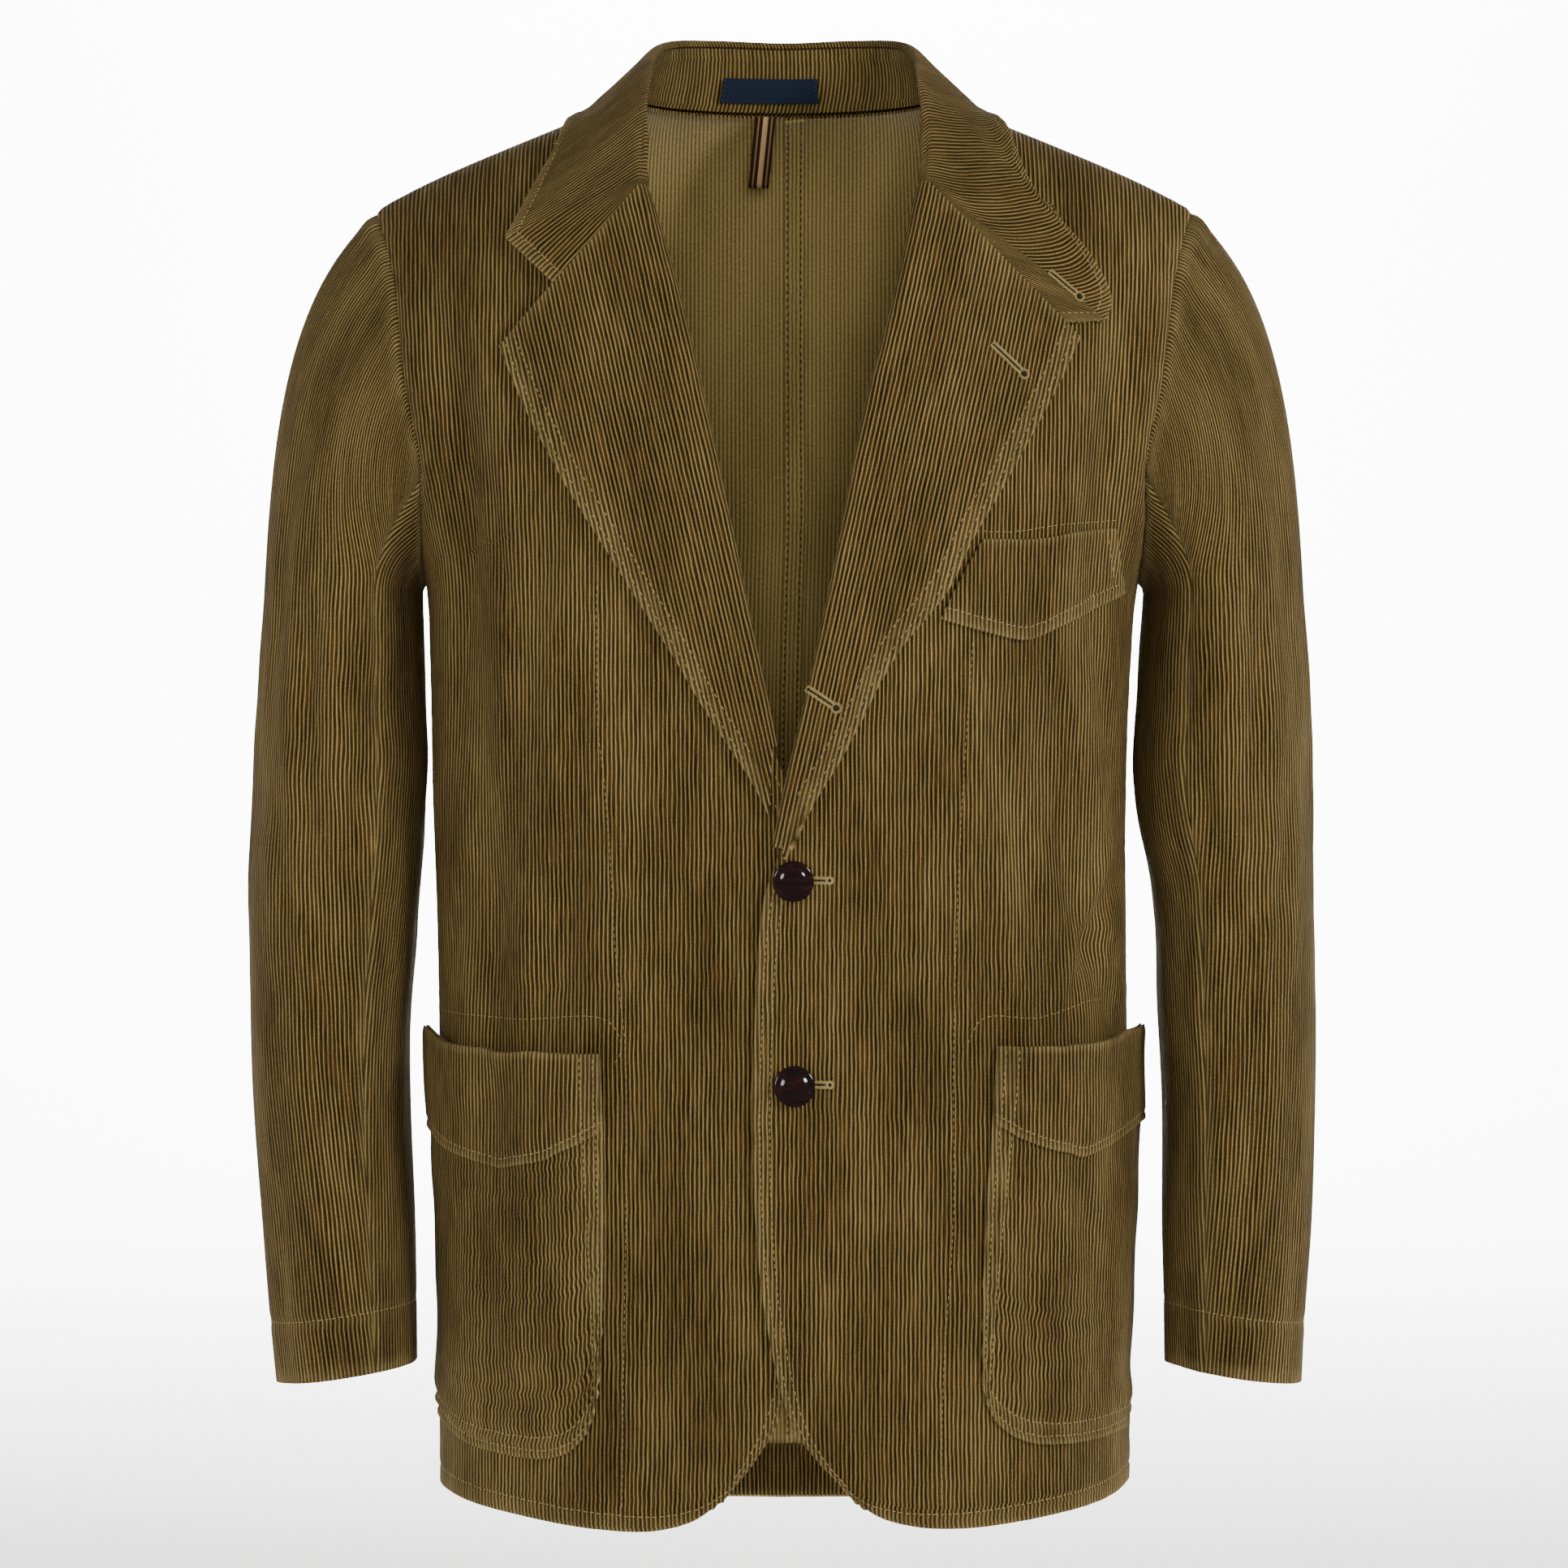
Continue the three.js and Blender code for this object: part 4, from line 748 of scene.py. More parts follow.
def frontPanel(side, key):
    edge = frontEdges[key]

    def start(v):
        z = lerp(edge[-1][0], shoulder["neckZ"], v)
        return onTurns((panelEdge(side, key, z), z))

    us = closeSteps(48, 210, (1, 2.4, 4.5, 7, 10.5, 13))
    vs = closeSteps(170, 730, (1, 2.4, 4.5, 7, 9, 11))
    turns = patchGrid(us, vs, turnRoute(frontHems[key]), shoulderSeam(side), start, outerEdge(-1, side))
    base = onBody(-1, turns)
    normals = normalsOf(base, side)
    startReach, bottomReach = reaches(base)
    neckTop = edge[0][0]

    def height(j, i):
        p = base[j][i]
        fromEdge, fromHem = startReach[j][i], bottomReach[j][i]
        toArm, toSeam = startReach[j][-1] - fromEdge, bottomReach[-1][i] - fromHem
        rise = overlapHeight(p.x, p.z) if side > 0 else 0
        belowRoll = 1 - smooth(p.z, lapelRollEnds[key] - 40, lapelRollEnds[key])
        rise += belowRoll * (stitchGroove(fromEdge, edgeStitch["front"]) + pucker(fromEdge, p.z, 1.1, side))
        rise += belowRoll * 0.9 * hump(fromEdge, 2.2, 2.2)
        rise += stitchGroove(fromHem, (edgeStitch["hem"],)) * smooth(fromEdge, 6, 18)
        rise += pucker(fromHem, p.x, edgeStitch["pucker"], 3 + side, 14)
        rise += seamDip(toArm) + seamDip(toSeam) + pucker(toArm, p.z, 0.8, 7 + side, 16)
        rise += seamDip(fromEdge) * smooth(p.z, neckTop - 5, neckTop + 5)
        return rise

    grid = moved(base, normals, height)

    def wear(j, i):
        fromEdge, fromHem = startReach[j][i], bottomReach[j][i]
        toArm = startReach[j][-1] - fromEdge
        z = base[j][i].z
        belowRoll = 1 - smooth(z, lapelRollEnds[key] - 40, lapelRollEnds[key])
        band = max(belowRoll * rubbed(fromEdge), rubbed(fromHem, 9))
        band = max(band, 0.6 * rubbed(toArm, 6))
        return min(1, band * (0.75 + 0.6 * noise.noise(Vector((base[j][i].x * 0.09, 2, z * 0.09)))))

    cut = levelCut(grid, lambda p: p.x)
    if side < 0:
        cut = [[(-(x - 2 * cut[j][0][0]), z) for x, z in row] for j, row in enumerate(cut)]
    piece = clothMesh(f"clothFront{key.capitalize()}", grid, side, cut, wear)
    thicken(piece, cloth["wall"], rightSide, inside)
    declareCloth(piece, f"front_{key}", grid)
    panels[f"front_{key}"] = {"grid": grid, "normals": normalsOf(grid, side)}


def backPanel(side, key):
    def start(v):
        return 0, lerp(hems["backZ"], hems["backNeckZ"], v)

    def hem(u):
        return side * math.radians(90 * u), lerp(hems["backZ"], hems["sideZ"], u**backHemShare)

    neckShare = 0.3
    seam = shoulderSeam(side)

    def top(u):
        if u < neckShare:
            t = u / neckShare
            x = side * shoulder["neckX"] * t
            return turnOf(x, hems["backNeckZ"]), lerp(hems["backNeckZ"], shoulder["neckZ"], t * t)
        return seam((u - neckShare) / (1 - neckShare))

    us = closeSteps(46, 230, (1, 2.4, 4.5, 7, 10, 13))
    vs = closeSteps(160, 770, (1, 2.4, 4.5, 7, 9, 11))
    turns = patchGrid(us, vs, hem, top, start, outerEdge(1, side))
    base = onBody(1, turns)
    normals = normalsOf(base, -side)
    startReach, bottomReach = reaches(base)

    def height(j, i):
        p = base[j][i]
        fromMiddle, fromHem = startReach[j][i], bottomReach[j][i]
        toArm, toSeam = startReach[j][-1] - fromMiddle, bottomReach[-1][i] - fromHem
        rise = seamDip(fromMiddle) + seamDip(toArm) + seamDip(toSeam)
        rise += stitchGroove(fromHem, (turnUp["stitch"],))
        if side > 0:
            rise += 1.3 * stitchGroove(fromMiddle, felled) + pucker(fromMiddle - 6, p.z, 0.7, 11, 6)
        rise += pucker(fromMiddle, p.z, 0.4, 11 + side, 10) + pucker(fromHem, p.x, 0.4, 13 + side, 20)
        return rise + pucker(toArm, p.z, 0.7, 17 + side, 16)

    grid = moved(base, normals, height)

    def wear(j, i):
        fromMiddle, fromHem = startReach[j][i], bottomReach[j][i]
        toArm = startReach[j][-1] - fromMiddle
        band = max(0.7 * rubbed(fromMiddle), rubbed(fromHem, 8), 0.6 * rubbed(toArm, 6))
        return band * (0.8 + 0.5 * noise.noise(base[j][i] * 0.09))

    cut = levelCut(grid, lambda p: 0)
    if side < 0:
        cut = [[(-x, z) for x, z in row] for row in cut]
    piece = clothMesh(f"clothBack{key.capitalize()}", grid, -side, cut, wear)
    thicken(piece, cloth["wall"], rightSide, inside)
    declareCloth(piece, f"back_{key}", grid)
    panels[f"back_{key}"] = {"grid": grid, "normals": normalsOf(grid, -side)}


sides = ((1, "left"), (-1, "right"))
for side, key in sides:
    frontPanel(side, key)
    backPanel(side, key)

print("lapels")
lapelEdges = {  # x, height, from the break up to the tip
    "left": [(1.2, -406.5), (6, -398.3), (15.1, -378), (28.5, -355.6), (39.7, -334.9), (50.9, -312.4),
             (62, -294.5), (85.9, -265), (99, -238), (118.7, -204.3), (141, -164.4), (158.3, -127.1)],
    "right": [(-7.8, -384), (-16.4, -366.8), (-29.8, -346.1), (-44.4, -323.7), (-58.2, -299.5),
              (-80.7, -263.2), (-107.3, -221.4), (-132, -179.6), (-141.9, -158.2), (-152.9, -132.2)],
}
notches = {"left": (151.3, -119.6), "right": (-123.3, -98.8)}
lapelLook = {"rise": 1.5, "least": 0.5, "stitches": (4, 11), "pucker": 0.85, "wave": 0.9}
curlSteps = 9
curlFrom, curlTo = -90, 60
gorgeColumns, tipColumns = 5, 2


def lapelGrid(side, key, vs, gorgeSteps, tipSteps, curls):
    neckZ = frontEdges[key][0][0]

    def roll(v):
        z = lerp(lapelRollEnds[key], neckZ, v)
        return onTurns((panelEdge(side, key, z), z))

    neck = (panelEdge(side, key, neckZ), neckZ)
    tip = lapelEdges[key][-1]
    notch = notches[key]
    gorge = math.dist(neck, notch)
    notchShare = gorge / (gorge + math.dist(tip, notch))
    columns = [t * notchShare for t in gorgeSteps] + [lerp(notchShare, 1, t) for t in tipSteps[1:]]

    def top(u):
        if u <= notchShare:
            t = u / notchShare
            return onTurns((lerp(neck[0], notch[0], t), lerp(neck[1], notch[1], t)))
        t = (u - notchShare) / (1 - notchShare)
        return onTurns((lerp(notch[0], tip[0], t), lerp(notch[1], tip[1], t)))

    edgeFoot = onTurns(lapelEdges[key][0])
    rollFoot = roll(0)

    def foot(u):
        return lerp(rollFoot[0], edgeFoot[0], u), lerp(rollFoot[1], edgeFoot[1], u)

    turns = patchGrid(columns, vs, foot, top, roll, turnRoute(lapelEdges[key]))
    base = onBody(-1, turns)
    normals = normalsOf(base, side)
    grid = []
    least = cloth["seamGap"] + cloth["folded"] + lapelLook["least"]
    for j, row in enumerate(base):
        across = row[1] - row[0]
        across.z = 0
        across.normalize()
        radius = lerp(lapelCurl["atBreak"], lapelCurl["atNeck"], vs[j])
        under = overlapHeight(row[0].x, row[0].z) if side > 0 else 0
        line = []
        for angle in curls:
            a = math.radians(angle)
            line.append(row[0] - across * (lapelCurl["gap"] + radius * math.cos(a))
                        + normals[j][0] * (under - cloth["wall"] + radius * (1 + math.sin(a))))
        for i, p in enumerate(row):
            u = columns[i]
            carried = overlapHeight(p.x, p.z) if side > 0 else 0
            settled = least + lapelLook["rise"] * math.sin(math.pi * u * u) * vs[j]
            lift = lerp(2 * radius - cloth["wall"], settled, min(1.6 * u, 1))
            line.append(p + normals[j][i] * (carried + max(lift, least)))
        grid.append(line)
    return grid, normals


def lapel(side, key):
    tight = [0, 0.012, 0.03, 0.055]
    vs = tight + [lerp(0.08, 1, k / 110) for k in range(108)] + [0.988, 0.995, 1]
    gorgeSteps = [k / 40 for k in range(41)]
    tipSteps = [0, 0.15, 0.3, 0.45, 0.6, 0.72, 0.84, 0.92, 1]
    curls = [lerp(curlFrom, curlTo, k / (curlSteps - 1)) for k in range(curlSteps)]
    grid, baseNormals = lapelGrid(side, key, vs, gorgeSteps, tipSteps, curls)
    normals = normalsOf(grid, side)
    startReach, bottomReach = reaches(grid)
    first = len(curls)
    foldAt = [row[first // 2 + 1] for row in startReach]

    def height(j, i):
        p = grid[j][i]
        toEdge = startReach[j][-1] - startReach[j][i]
        toTop = bottomReach[-1][i] - bottomReach[j][i]
        if i < first:
            return 0
        rise = stitchGroove(toEdge, lapelLook["stitches"]) + seamDip(toTop) * 0.6
        rise += pucker(toEdge, bottomReach[j][i], lapelLook["pucker"], 23 + side, 15)
        swell = hump(toEdge, 2, 3) * 0.35
        bend = noise.noise(Vector((p.x * 0.02, 31, p.z * 0.012))) * lapelLook["wave"]
        return rise + swell + bend * smooth(startReach[j][i] - foldAt[j], 4, 40) + 0.4

    shaped = moved(grid, normals, height)
    normals = normalsOf(shaped, side)
    for j, row in enumerate(normals):
        row[0] = -baseNormals[j][0]

    def wear(j, i):
        toEdge = startReach[j][-1] - startReach[j][i]
        toTop = bottomReach[-1][i] - bottomReach[j][i]
        band = max(rubbed(toEdge), 0.6 * rubbed(toTop, 6))
        fold = hump(startReach[j][i], foldAt[j], 2.5)
        return min(1, band * (0.75 + 0.7 * noise.noise(grid[j][i] * 0.08)) + 0.45 * fold)

    low, high = grid[0][first // 2 + 1], grid[-1][first // 2 + 1]
    way = Vector((high.x - low.x, 0, high.z - low.z)).normalized()
    aside = Vector((way.z * side, 0, -way.x * side))

    def fromRoll(j, i):
        if i < first:
            return (grid[j][first] - low).dot(aside) - startReach[j][first] + startReach[j][i]
        return (grid[j][i] - low).dot(aside)

    cut = flatCut([[fromRoll(j, i) for i in range(len(row))] for j, row in enumerate(shaped)], bottomReach)
    piece = clothMesh(f"lapelTurned{key.capitalize()}", shaped, side, cut, wear)
    thicken(piece, cloth["folded"], rightSide, rightSide, 0.8)
    declareCloth(piece, f"lapel_{key}", shaped)
    panels[f"lapel_{key}"] = {"grid": shaped, "normals": normals}


for side, key in sides:
    lapel(side, key)

print("sleeves")
sleeveSections = {  # height, outermost x, innermost x, middle, half depth
    "left": [(-262, 288.3, 199, 2, 70), (-315, 292, 194.6, 2, 68), (-370, 293.5, 193, 0, 66),
             (-427, 293, 203, -4, 63), (-495, 293.5, 206, -10, 60), (-540, 293, 208, -15, 58),
             (-607, 290.5, 207.5, -24, 55), (-650, 286.5, 208.3, -30, 53), (-688, 283.5, 208.5, -36, 51)],
    "right": [(-262, 288.3, 200, 2, 70), (-315, 292, 197.5, 2, 68), (-370, 294.5, 196, 0, 66),
              (-427, 296, 199.5, -4, 63), (-495, 295, 205, -10, 60), (-540, 293, 205.5, -15, 58),
              (-607, 286.5, 203, -24, 55), (-650, 282, 202, -30, 53), (-688, 277.5, 201, -36, 51)],
}
sleeveCut = {"top": -262, "cuff": -688, "slant": 5.5, "slantFrom": 600, "frontSeam": 1 / 3, "backSeam": 2 / 3}
cuffStitch = 33
sleeveCreases = [  # turn, z, half length, half width, lean, depth
    (0.12, -250, 110, 0.035, 0.0002, 4.5),
    (0.2, -330, 130, 0.03, -0.0002, 3.6),
    (0.27, -450, 90, 0.035, 0.0003, 3.2),
    (0.78, -400, 120, 0.04, 0.0002, 4),
    (0.88, -280, 110, 0.035, -0.0002, 3.6),
]
sleeveFineCreases = [  # the same columns
    (0.06, -330, 120, 0.016, 0.0001, 1.5),
    (0.16, -420, 80, 0.018, -0.0004, 1.7),
    (0.23, -250, 70, 0.016, 0.0004, 1.6),
    (0.24, -560, 90, 0.02, -0.0002, 1.5),
    (0.13, -600, 80, 0.02, 0.0003, 1.3),
    (0.3, -380, 60, 0.02, 0.0005, 1.6),
    (0.85, -470, 90, 0.02, 0.0003, 1.6),
    (0.74, -300, 90, 0.02, -0.0003, 1.6),
    (0.8, -580, 80, 0.02, 0.0002, 1.4),
    (0.93, -380, 100, 0.02, 0.0002, 1.3),
    (0.5, -420, 120, 0.03, 0.0002, 2),
]
sleeveDrape = {"ripple": 1.3, "turns": 2.6, "down": 0.006, "elbow": 1.4, "elbowZ": -390, "elbowReach": 90}


def sleeveCreaseDepth(turn, z):
    depth = 0
    for table in (sleeveCreases, sleeveFineCreases):
        for at, cz, length, width, lean, deep in table:
            run = (z - cz) / length
            off = (turn - at - lean * (z - cz)) / width
            if abs(run) < 2.4 and abs(off) < 4:
                depth += deep * math.exp(-off * off - run * run)
    return depth


def sleevePoint(side, key, turn, z):
    rows = sleeveSections[key]
    outer, inner, mid, deep = (along(rows, z, k) for k in range(1, 5))
    half = (outer - inner) / 2
    angle = turn * 2 * math.pi
    fold = 1 - sleeveCreaseDepth(turn, z) / half
    swing = noise.noise(Vector((math.cos(angle) * sleeveDrape["turns"],
                                math.sin(angle) * sleeveDrape["turns"],
                                z * sleeveDrape["down"] + side * 5)))
    bent = hump(z, sleeveDrape["elbowZ"], sleeveDrape["elbowReach"])
    cross = noise.noise(Vector((math.cos(angle) * 1.6, math.sin(angle) * 1.6, z * 0.03 + side * 11)))
    fold += (swing * sleeveDrape["ripple"] + cross * bent * sleeveDrape["elbow"]) / half
    cuffShare = smooth(-z, sleeveCut["slantFrom"], -sleeveCut["cuff"])
    return Vector((side * (inner + half + half * math.cos(angle) * fold), mid - deep * math.sin(angle) * fold,
                   z - cuffShare * sleeveCut["slant"] * math.cos(angle)))


def sleeveHead(side, key, turn, seam):
    full = sleevePoint(side, key, turn, sleeveCut["top"])
    reach = (seam - full).length
    top = 0.5 + 0.5 * math.cos(turn * 2 * math.pi)
    away = Vector((side * lerp(0.35, 0.8, top), 0, -lerp(0.9, 0.62, top))).normalized()
    pulls = (seam, seam + away * reach * 0.3, full + Vector((-side * 4 * top, 0, reach * 0.38)), full)

    def at(t):
        s = 1 - t
        return pulls[0] * s**3 + pulls[1] * 3 * s * s * t + pulls[2] * 3 * s * t * t + pulls[3] * t**3

    return at


def sleeve(side, key):
    armholes = {}
    for face, part in ((-1, "front"), (1, "back")):
        edge = [row[-1] for row in panels[f"{part}_{key}"]["grid"] if row[-1].z > hems["underarmZ"] - 1]
        armholes[face] = route(edge[::-3] + edge[:1])

    def seamAt(turn):
        return armholes[-1](turn * 2) if turn <= 0.5 else armholes[1]((1 - turn) * 2)

    headSteps = [0, 0.008, 0.02, 0.035, 0.055, 0.08] + [lerp(0.11, 1, k / 26) for k in range(26)]
    arm = [lerp(sleeveCut["top"], sleeveCut["cuff"], t) for t in steps(96)]
    arm += [sleeveCut["cuff"] + x for x in (2.6, 1.2)]
    arm = sorted(set(arm), reverse=True)

    def half(name, low, high, count):
        turns = [lerp(low, high, t) for t in closeSteps(count, (high - low) * 340, (1, 2.2, 4, 7))]
        heads = [sleeveHead(side, key, t % 1, seamAt(t % 1)) for t in turns]
        base = [[head(t) for head in heads] for t in headSteps]
        base += [[sleevePoint(side, key, t % 1, z) for t in turns] for z in arm]
        normals = normalsOf(base, side)
        startReach, headReach = reaches(base)

        def height(j, i):
            fromSeam, toSeam = startReach[j][i], startReach[j][-1] - startReach[j][i]
            fromArmhole, toCuff = headReach[j][i], headReach[-1][i] - headReach[j][i]
            rise = seamDip(fromSeam) + seamDip(toSeam) + seamDip(fromArmhole) * 0.5
            crown = 0.5 + 0.5 * math.cos(turns[i] * 2 * math.pi)
            rise += 1.5 * crown * hump(fromArmhole, 7, 6)
            rise += pucker(fromArmhole, turns[i] * 480, 1.5, 41 + side, 22) * (0.4 + crown)
            rise += pucker(toCuff, turns[i] * 300, 0.35, 43 + side, 16)
            return rise - 0.5 * hump(toCuff, cuffStitch, 1.6)

        grid = moved(base, normals, height)

        def wear(j, i):
            toCuff, fromArmhole = headReach[-1][i] - headReach[j][i], headReach[j][i]
            fromSeam = min(startReach[j][i], startReach[j][-1] - startReach[j][i])
            band = max(0.8 * (1 - smooth(toCuff, 2, 8)), 0.75 * hump(fromArmhole, 4, 4),
                       0.5 * (1 - smooth(fromSeam, 1, 5)),
                       0.35 * hump(toCuff, cuffStitch, 3))
            return band * (0.75 + 0.6 * noise.noise(base[j][i] * 0.09))

        middle = len(turns) // 2
        cut = []
        for j, row in enumerate(grid):
            spread = [0.0]
            for a, b in zip(row, row[1:]):
                spread.append(spread[-1] + (b - a).length)
            cut.append([((x - spread[middle]) * mm, -headReach[j][i] * mm) for i, x in enumerate(spread)])
        piece = clothMesh(name, grid, side, cut, wear)
        thicken(piece, cloth["wall"], rightSide, inside)
        node = "sleeve_" + ("upper" if "Upper" in name else "under") + "_" + key
        declareCloth(piece, node, grid)
        panels[node] = {"grid": grid, "normals": normalsOf(grid, side)}

    half(f"sleeveUpper{key.capitalize()}", sleeveCut["backSeam"], 1 + sleeveCut["frontSeam"], 66)
    half(f"sleeveUnder{key.capitalize()}", sleeveCut["frontSeam"], sleeveCut["backSeam"], 34)


for side, key in sides:
    sleeve(side, key)

print("collar")
collarSections = [  # roll, foot of the stand, outer x, outer z, face
    ((72.4, -75, -43), (73, -74, -42), 151.6, -70.2, -1),
    ((73, -58, -20), (74.3, -51.5, -20), 143.5, -54, -1),
    ((73, -38, 4), (78.5, -31, 0), 136, -38.5, -1),
    ((71.3, -15, 25), (82.7, -11, 10), 127, -21, -1),
    ((68.5, 9, 40), (85, 10, 13.8), 117, 0, 0),
    ((60.5, 38, 50), (74, 44, 13.5), 103, -7, 1),
    ((36, 61, 54), (44, 67, 13.2), 60, 0, 1),
    ((0, 71, 54.5), (0, 75.5, 13), 0, 2, 1),
]
leftCollarOuter = [(177.6, -104), (167, -80.5), (155, -65), (138, -45)]
leftCollarTab = (174.5, -116.5)
collarRoll = {"start": 4, "width": 6.2, "fall": 5, "crest": 2.4, "ease": 1.6, "standGap": 1.2}
collarLook = {"stitches": (7,), "pucker": 0.55, "steps": 7, "middleY": 8}
standStitches = (3.5, 6)  # above its foot, below the roll
controlCurls = (-90, -35, 20, 60)
collarFlats = gorgeColumns + 1


def outerPoint(x, z, face, side):
    if face == 0:
        return Vector((side * x, collarLook["middleY"], shoulderZ(x)))
    return formPoint(face, side * x, z)


def clearOfBody(point):
    rise = cloth["seamGap"] + cloth["folded"] + collarRoll["ease"]
    face = -1 if point.y < collarLook["middleY"] else 1
    mid = section(point.z)[4]
    deepest = abs(formPoint(face, point.x, -350).y - mid)
    curve = fullDepthDrop(face, point.x)
    share = min(abs(point.y - mid) / deepest, 0.99)
    level = math.sqrt(1 - share * share)
    slope = curve * share / (level * deepest)
    if slope < 1:
        surface = shoulderZ(point.x) - curve * (1 - level)
        point.z = max(point.z, surface + rise * math.hypot(1, slope))
    elif point.z < shoulderZ(point.x):
        y = formPoint(face, point.x, point.z).y + face * rise * math.hypot(1, 1 / slope)
        point.y = min(point.y, y) if face < 0 else max(point.y, y)
    return point


def standTop(length):
    return min(collarRoll["start"], length / 2)


def collarRow(roll, foot, outerX, outerZ, face, side):
    top = Vector((side * roll[0], roll[1], roll[2]))
    outer = outerPoint(outerX, outerZ, face, side)
    down = Vector((side * foot[0], foot[1], foot[2])) - top
    start = top + down.normalized() * standTop(down.length)
    down.normalize()
    out = outer - top
    out = (out - down * out.dot(down)).normalized()
    turned = top + out * collarRoll["width"] + down * collarRoll["fall"]
    crest = top + out * collarRoll["width"] / 2 - down * collarRoll["crest"]
    curl = [start * (1 - t) ** 2 + crest * 2 * t * (1 - t) + turned * t * t for t in (0, 0.25, 0.5, 0.75)]
    return curl + [clearOfBody(turned.lerp(outer, t)) for t in steps(collarFlats - 1)]


def endRow(gorge, following, corner, share):
    bend = len(controlCurls)
    shifted = [p.lerp(following[i], share) for i, p in enumerate(gorge)]
    flat = [clearOfBody(shifted[bend].lerp(corner, k / (collarFlats - 1))) for k in range(collarFlats)]
    return shifted[:bend] + flat


def collarSide(side, key):
    grid, _ = lapelGrid(side, key, steps(18), steps(gorgeColumns), steps(tipColumns), controlCurls)
    gorge = grid[-1][: len(controlCurls) + collarFlats]

    def outerOf(k):
        if side > 0 and k < len(leftCollarOuter):
            return leftCollarOuter[k]
        return collarSections[k][2:4]

    rows = [collarRow(roll, foot, *outerOf(k), face, side)
            for k, (roll, foot, _, _, face) in enumerate(collarSections)]
    rows[0] = endRow(gorge, rows[1], outerPoint(*outerOf(0), -1, side), 0.16)
    if side > 0:
        rows.insert(0, endRow(gorge, rows[0], outerPoint(*leftCollarTab, -1, side), 0.05))
    return [gorge] + rows


# A finer grid on smooth curves through a coarse one, straight over its first and last spans if square
def finerGrid(rows, between, acrossSteps, square=False):
    inner = rows[1:-1] if square else rows
    tall = [[bendAt([row[i] for row in inner], span, k / between) for i in range(len(rows[0]))]
            for span in range(len(inner) - 1) for k in range(between)]
    tall.append(inner[-1])
    if square:
        shares = (0, 0.06, 0.14, 0.25, 0.4, 0.55, 0.7, 0.85)
        tall = ([[a.lerp(b, t) for a, b in zip(rows[0], rows[1])] for t in shares] + tall
                + [[a.lerp(b, t) for a, b in zip(rows[-1], rows[-2])] for t in shares[::-1]])
    return [[bendAt(row, min(int(s), len(row) - 2), s - min(int(s), len(row) - 2)) for s in acrossSteps]
            for row in tall]


def collarFall():
    right = collarSide(-1, "right")
    left = collarSide(1, "left")[::-1]
    rows = right + left[1:]
    last = len(rows[0]) - 1
    across = [k * 0.25 for k in range(4 * 4)] + [lerp(4, last, k / 42) for k in range(42)]
    across += [last - 0.12, last - 0.06, last]
    grid = finerGrid(rows, collarLook["steps"], sorted(set(across)), square=True)
    for row in grid:
        for i, s in enumerate(sorted(set(across))):
            if s > len(controlCurls) + 0.5:
                clearOfBody(row[i])
    normals = normalsOf(grid, -1)
    acrossReach, lengthReach = reaches(grid)

    def height(j, i):
        toEdge = acrossReach[j][-1] - acrossReach[j][i]
        ends = min(lengthReach[j][i], lengthReach[-1][i] - lengthReach[j][i])
        rise = stitchGroove(toEdge, collarLook["stitches"])
        rise += pucker(toEdge, lengthReach[j][i], collarLook["pucker"], 61, 13)
        return rise + seamDip(ends) * 0.5 * smooth(acrossReach[j][i], 8, 20)

    grid = moved(grid, normals, height)

    def wear(j, i):
        toEdge = acrossReach[j][-1] - acrossReach[j][i]
        roll = hump(acrossReach[j][i], 6, 5)
        band = max(rubbed(toEdge, 8), 0.3 * roll)
        return worn(band, grid[j][i], 0.8, 0.6, 0.08)

    cut = [[(lengthReach[j][len(row) * 2 // 3] * mm, acrossReach[j][i] * mm) for i in range(len(row))]
           for j, row in enumerate(grid)]
    for j, row in enumerate(cut):
        row[:] = [(lerp(lengthReach[j][i] * mm, u, 0.55), v) for i, (u, v) in enumerate(row)]
    piece = clothMesh("collarFall", grid, -1, cut, wear)
    thicken(piece, cloth["folded"], collarCloth, collarCloth, 0.8)
    declareCloth(piece, "collar_fall", grid)
    panels["collar_fall"] = {"grid": grid, "normals": normalsOf(grid, -1)}


def collarStand():
    rows = []
    for k in list(range(2, 8)) + list(range(6, 1, -1)):
        side = -1 if len(rows) < 6 else 1
        roll, foot = collarSections[k][:2]
        top = Vector((side * roll[0], roll[1], roll[2]))
        low = Vector((side * foot[0], foot[1], foot[2]))
        length = (top - low).length
        way = (top - low).normalized()
        top -= way * (standTop(length) + collarRoll["standGap"])
        low += way * min(1.1, length / 4)
        rows.append([low.lerp(top, t) for t in steps(2)])
    across = closeSteps(18, 36, (1, 2.4, 4))
    grid = finerGrid(rows, 8, [t * 2 for t in across])
    normals = normalsOf(grid, -1)
    heightReach, lengthReach = reaches(grid)

    def height(j, i):
        fromFoot = heightReach[j][i]
        inward = stitchGroove(fromFoot, standStitches[:1])
        inward += stitchGroove(heightReach[j][-1] - fromFoot, standStitches[1:])
        return -inward + 0.35 * noise.noise(grid[j][i] * 0.05)

    grid = moved(grid, normals, height)
    cut = flatCut(lengthReach, heightReach)
    piece = clothMesh("collarStand", grid, -1, cut, lambda j, i: 0.25)
    thicken(piece, cloth["wall"] + 0.3, collarCloth, collarCloth, 0.5)
    declareCloth(piece, "collar_stand", grid)
    panels["collar_stand"] = {"grid": grid, "normals": normalsOf(grid, -1)}


collarFall()
collarStand()

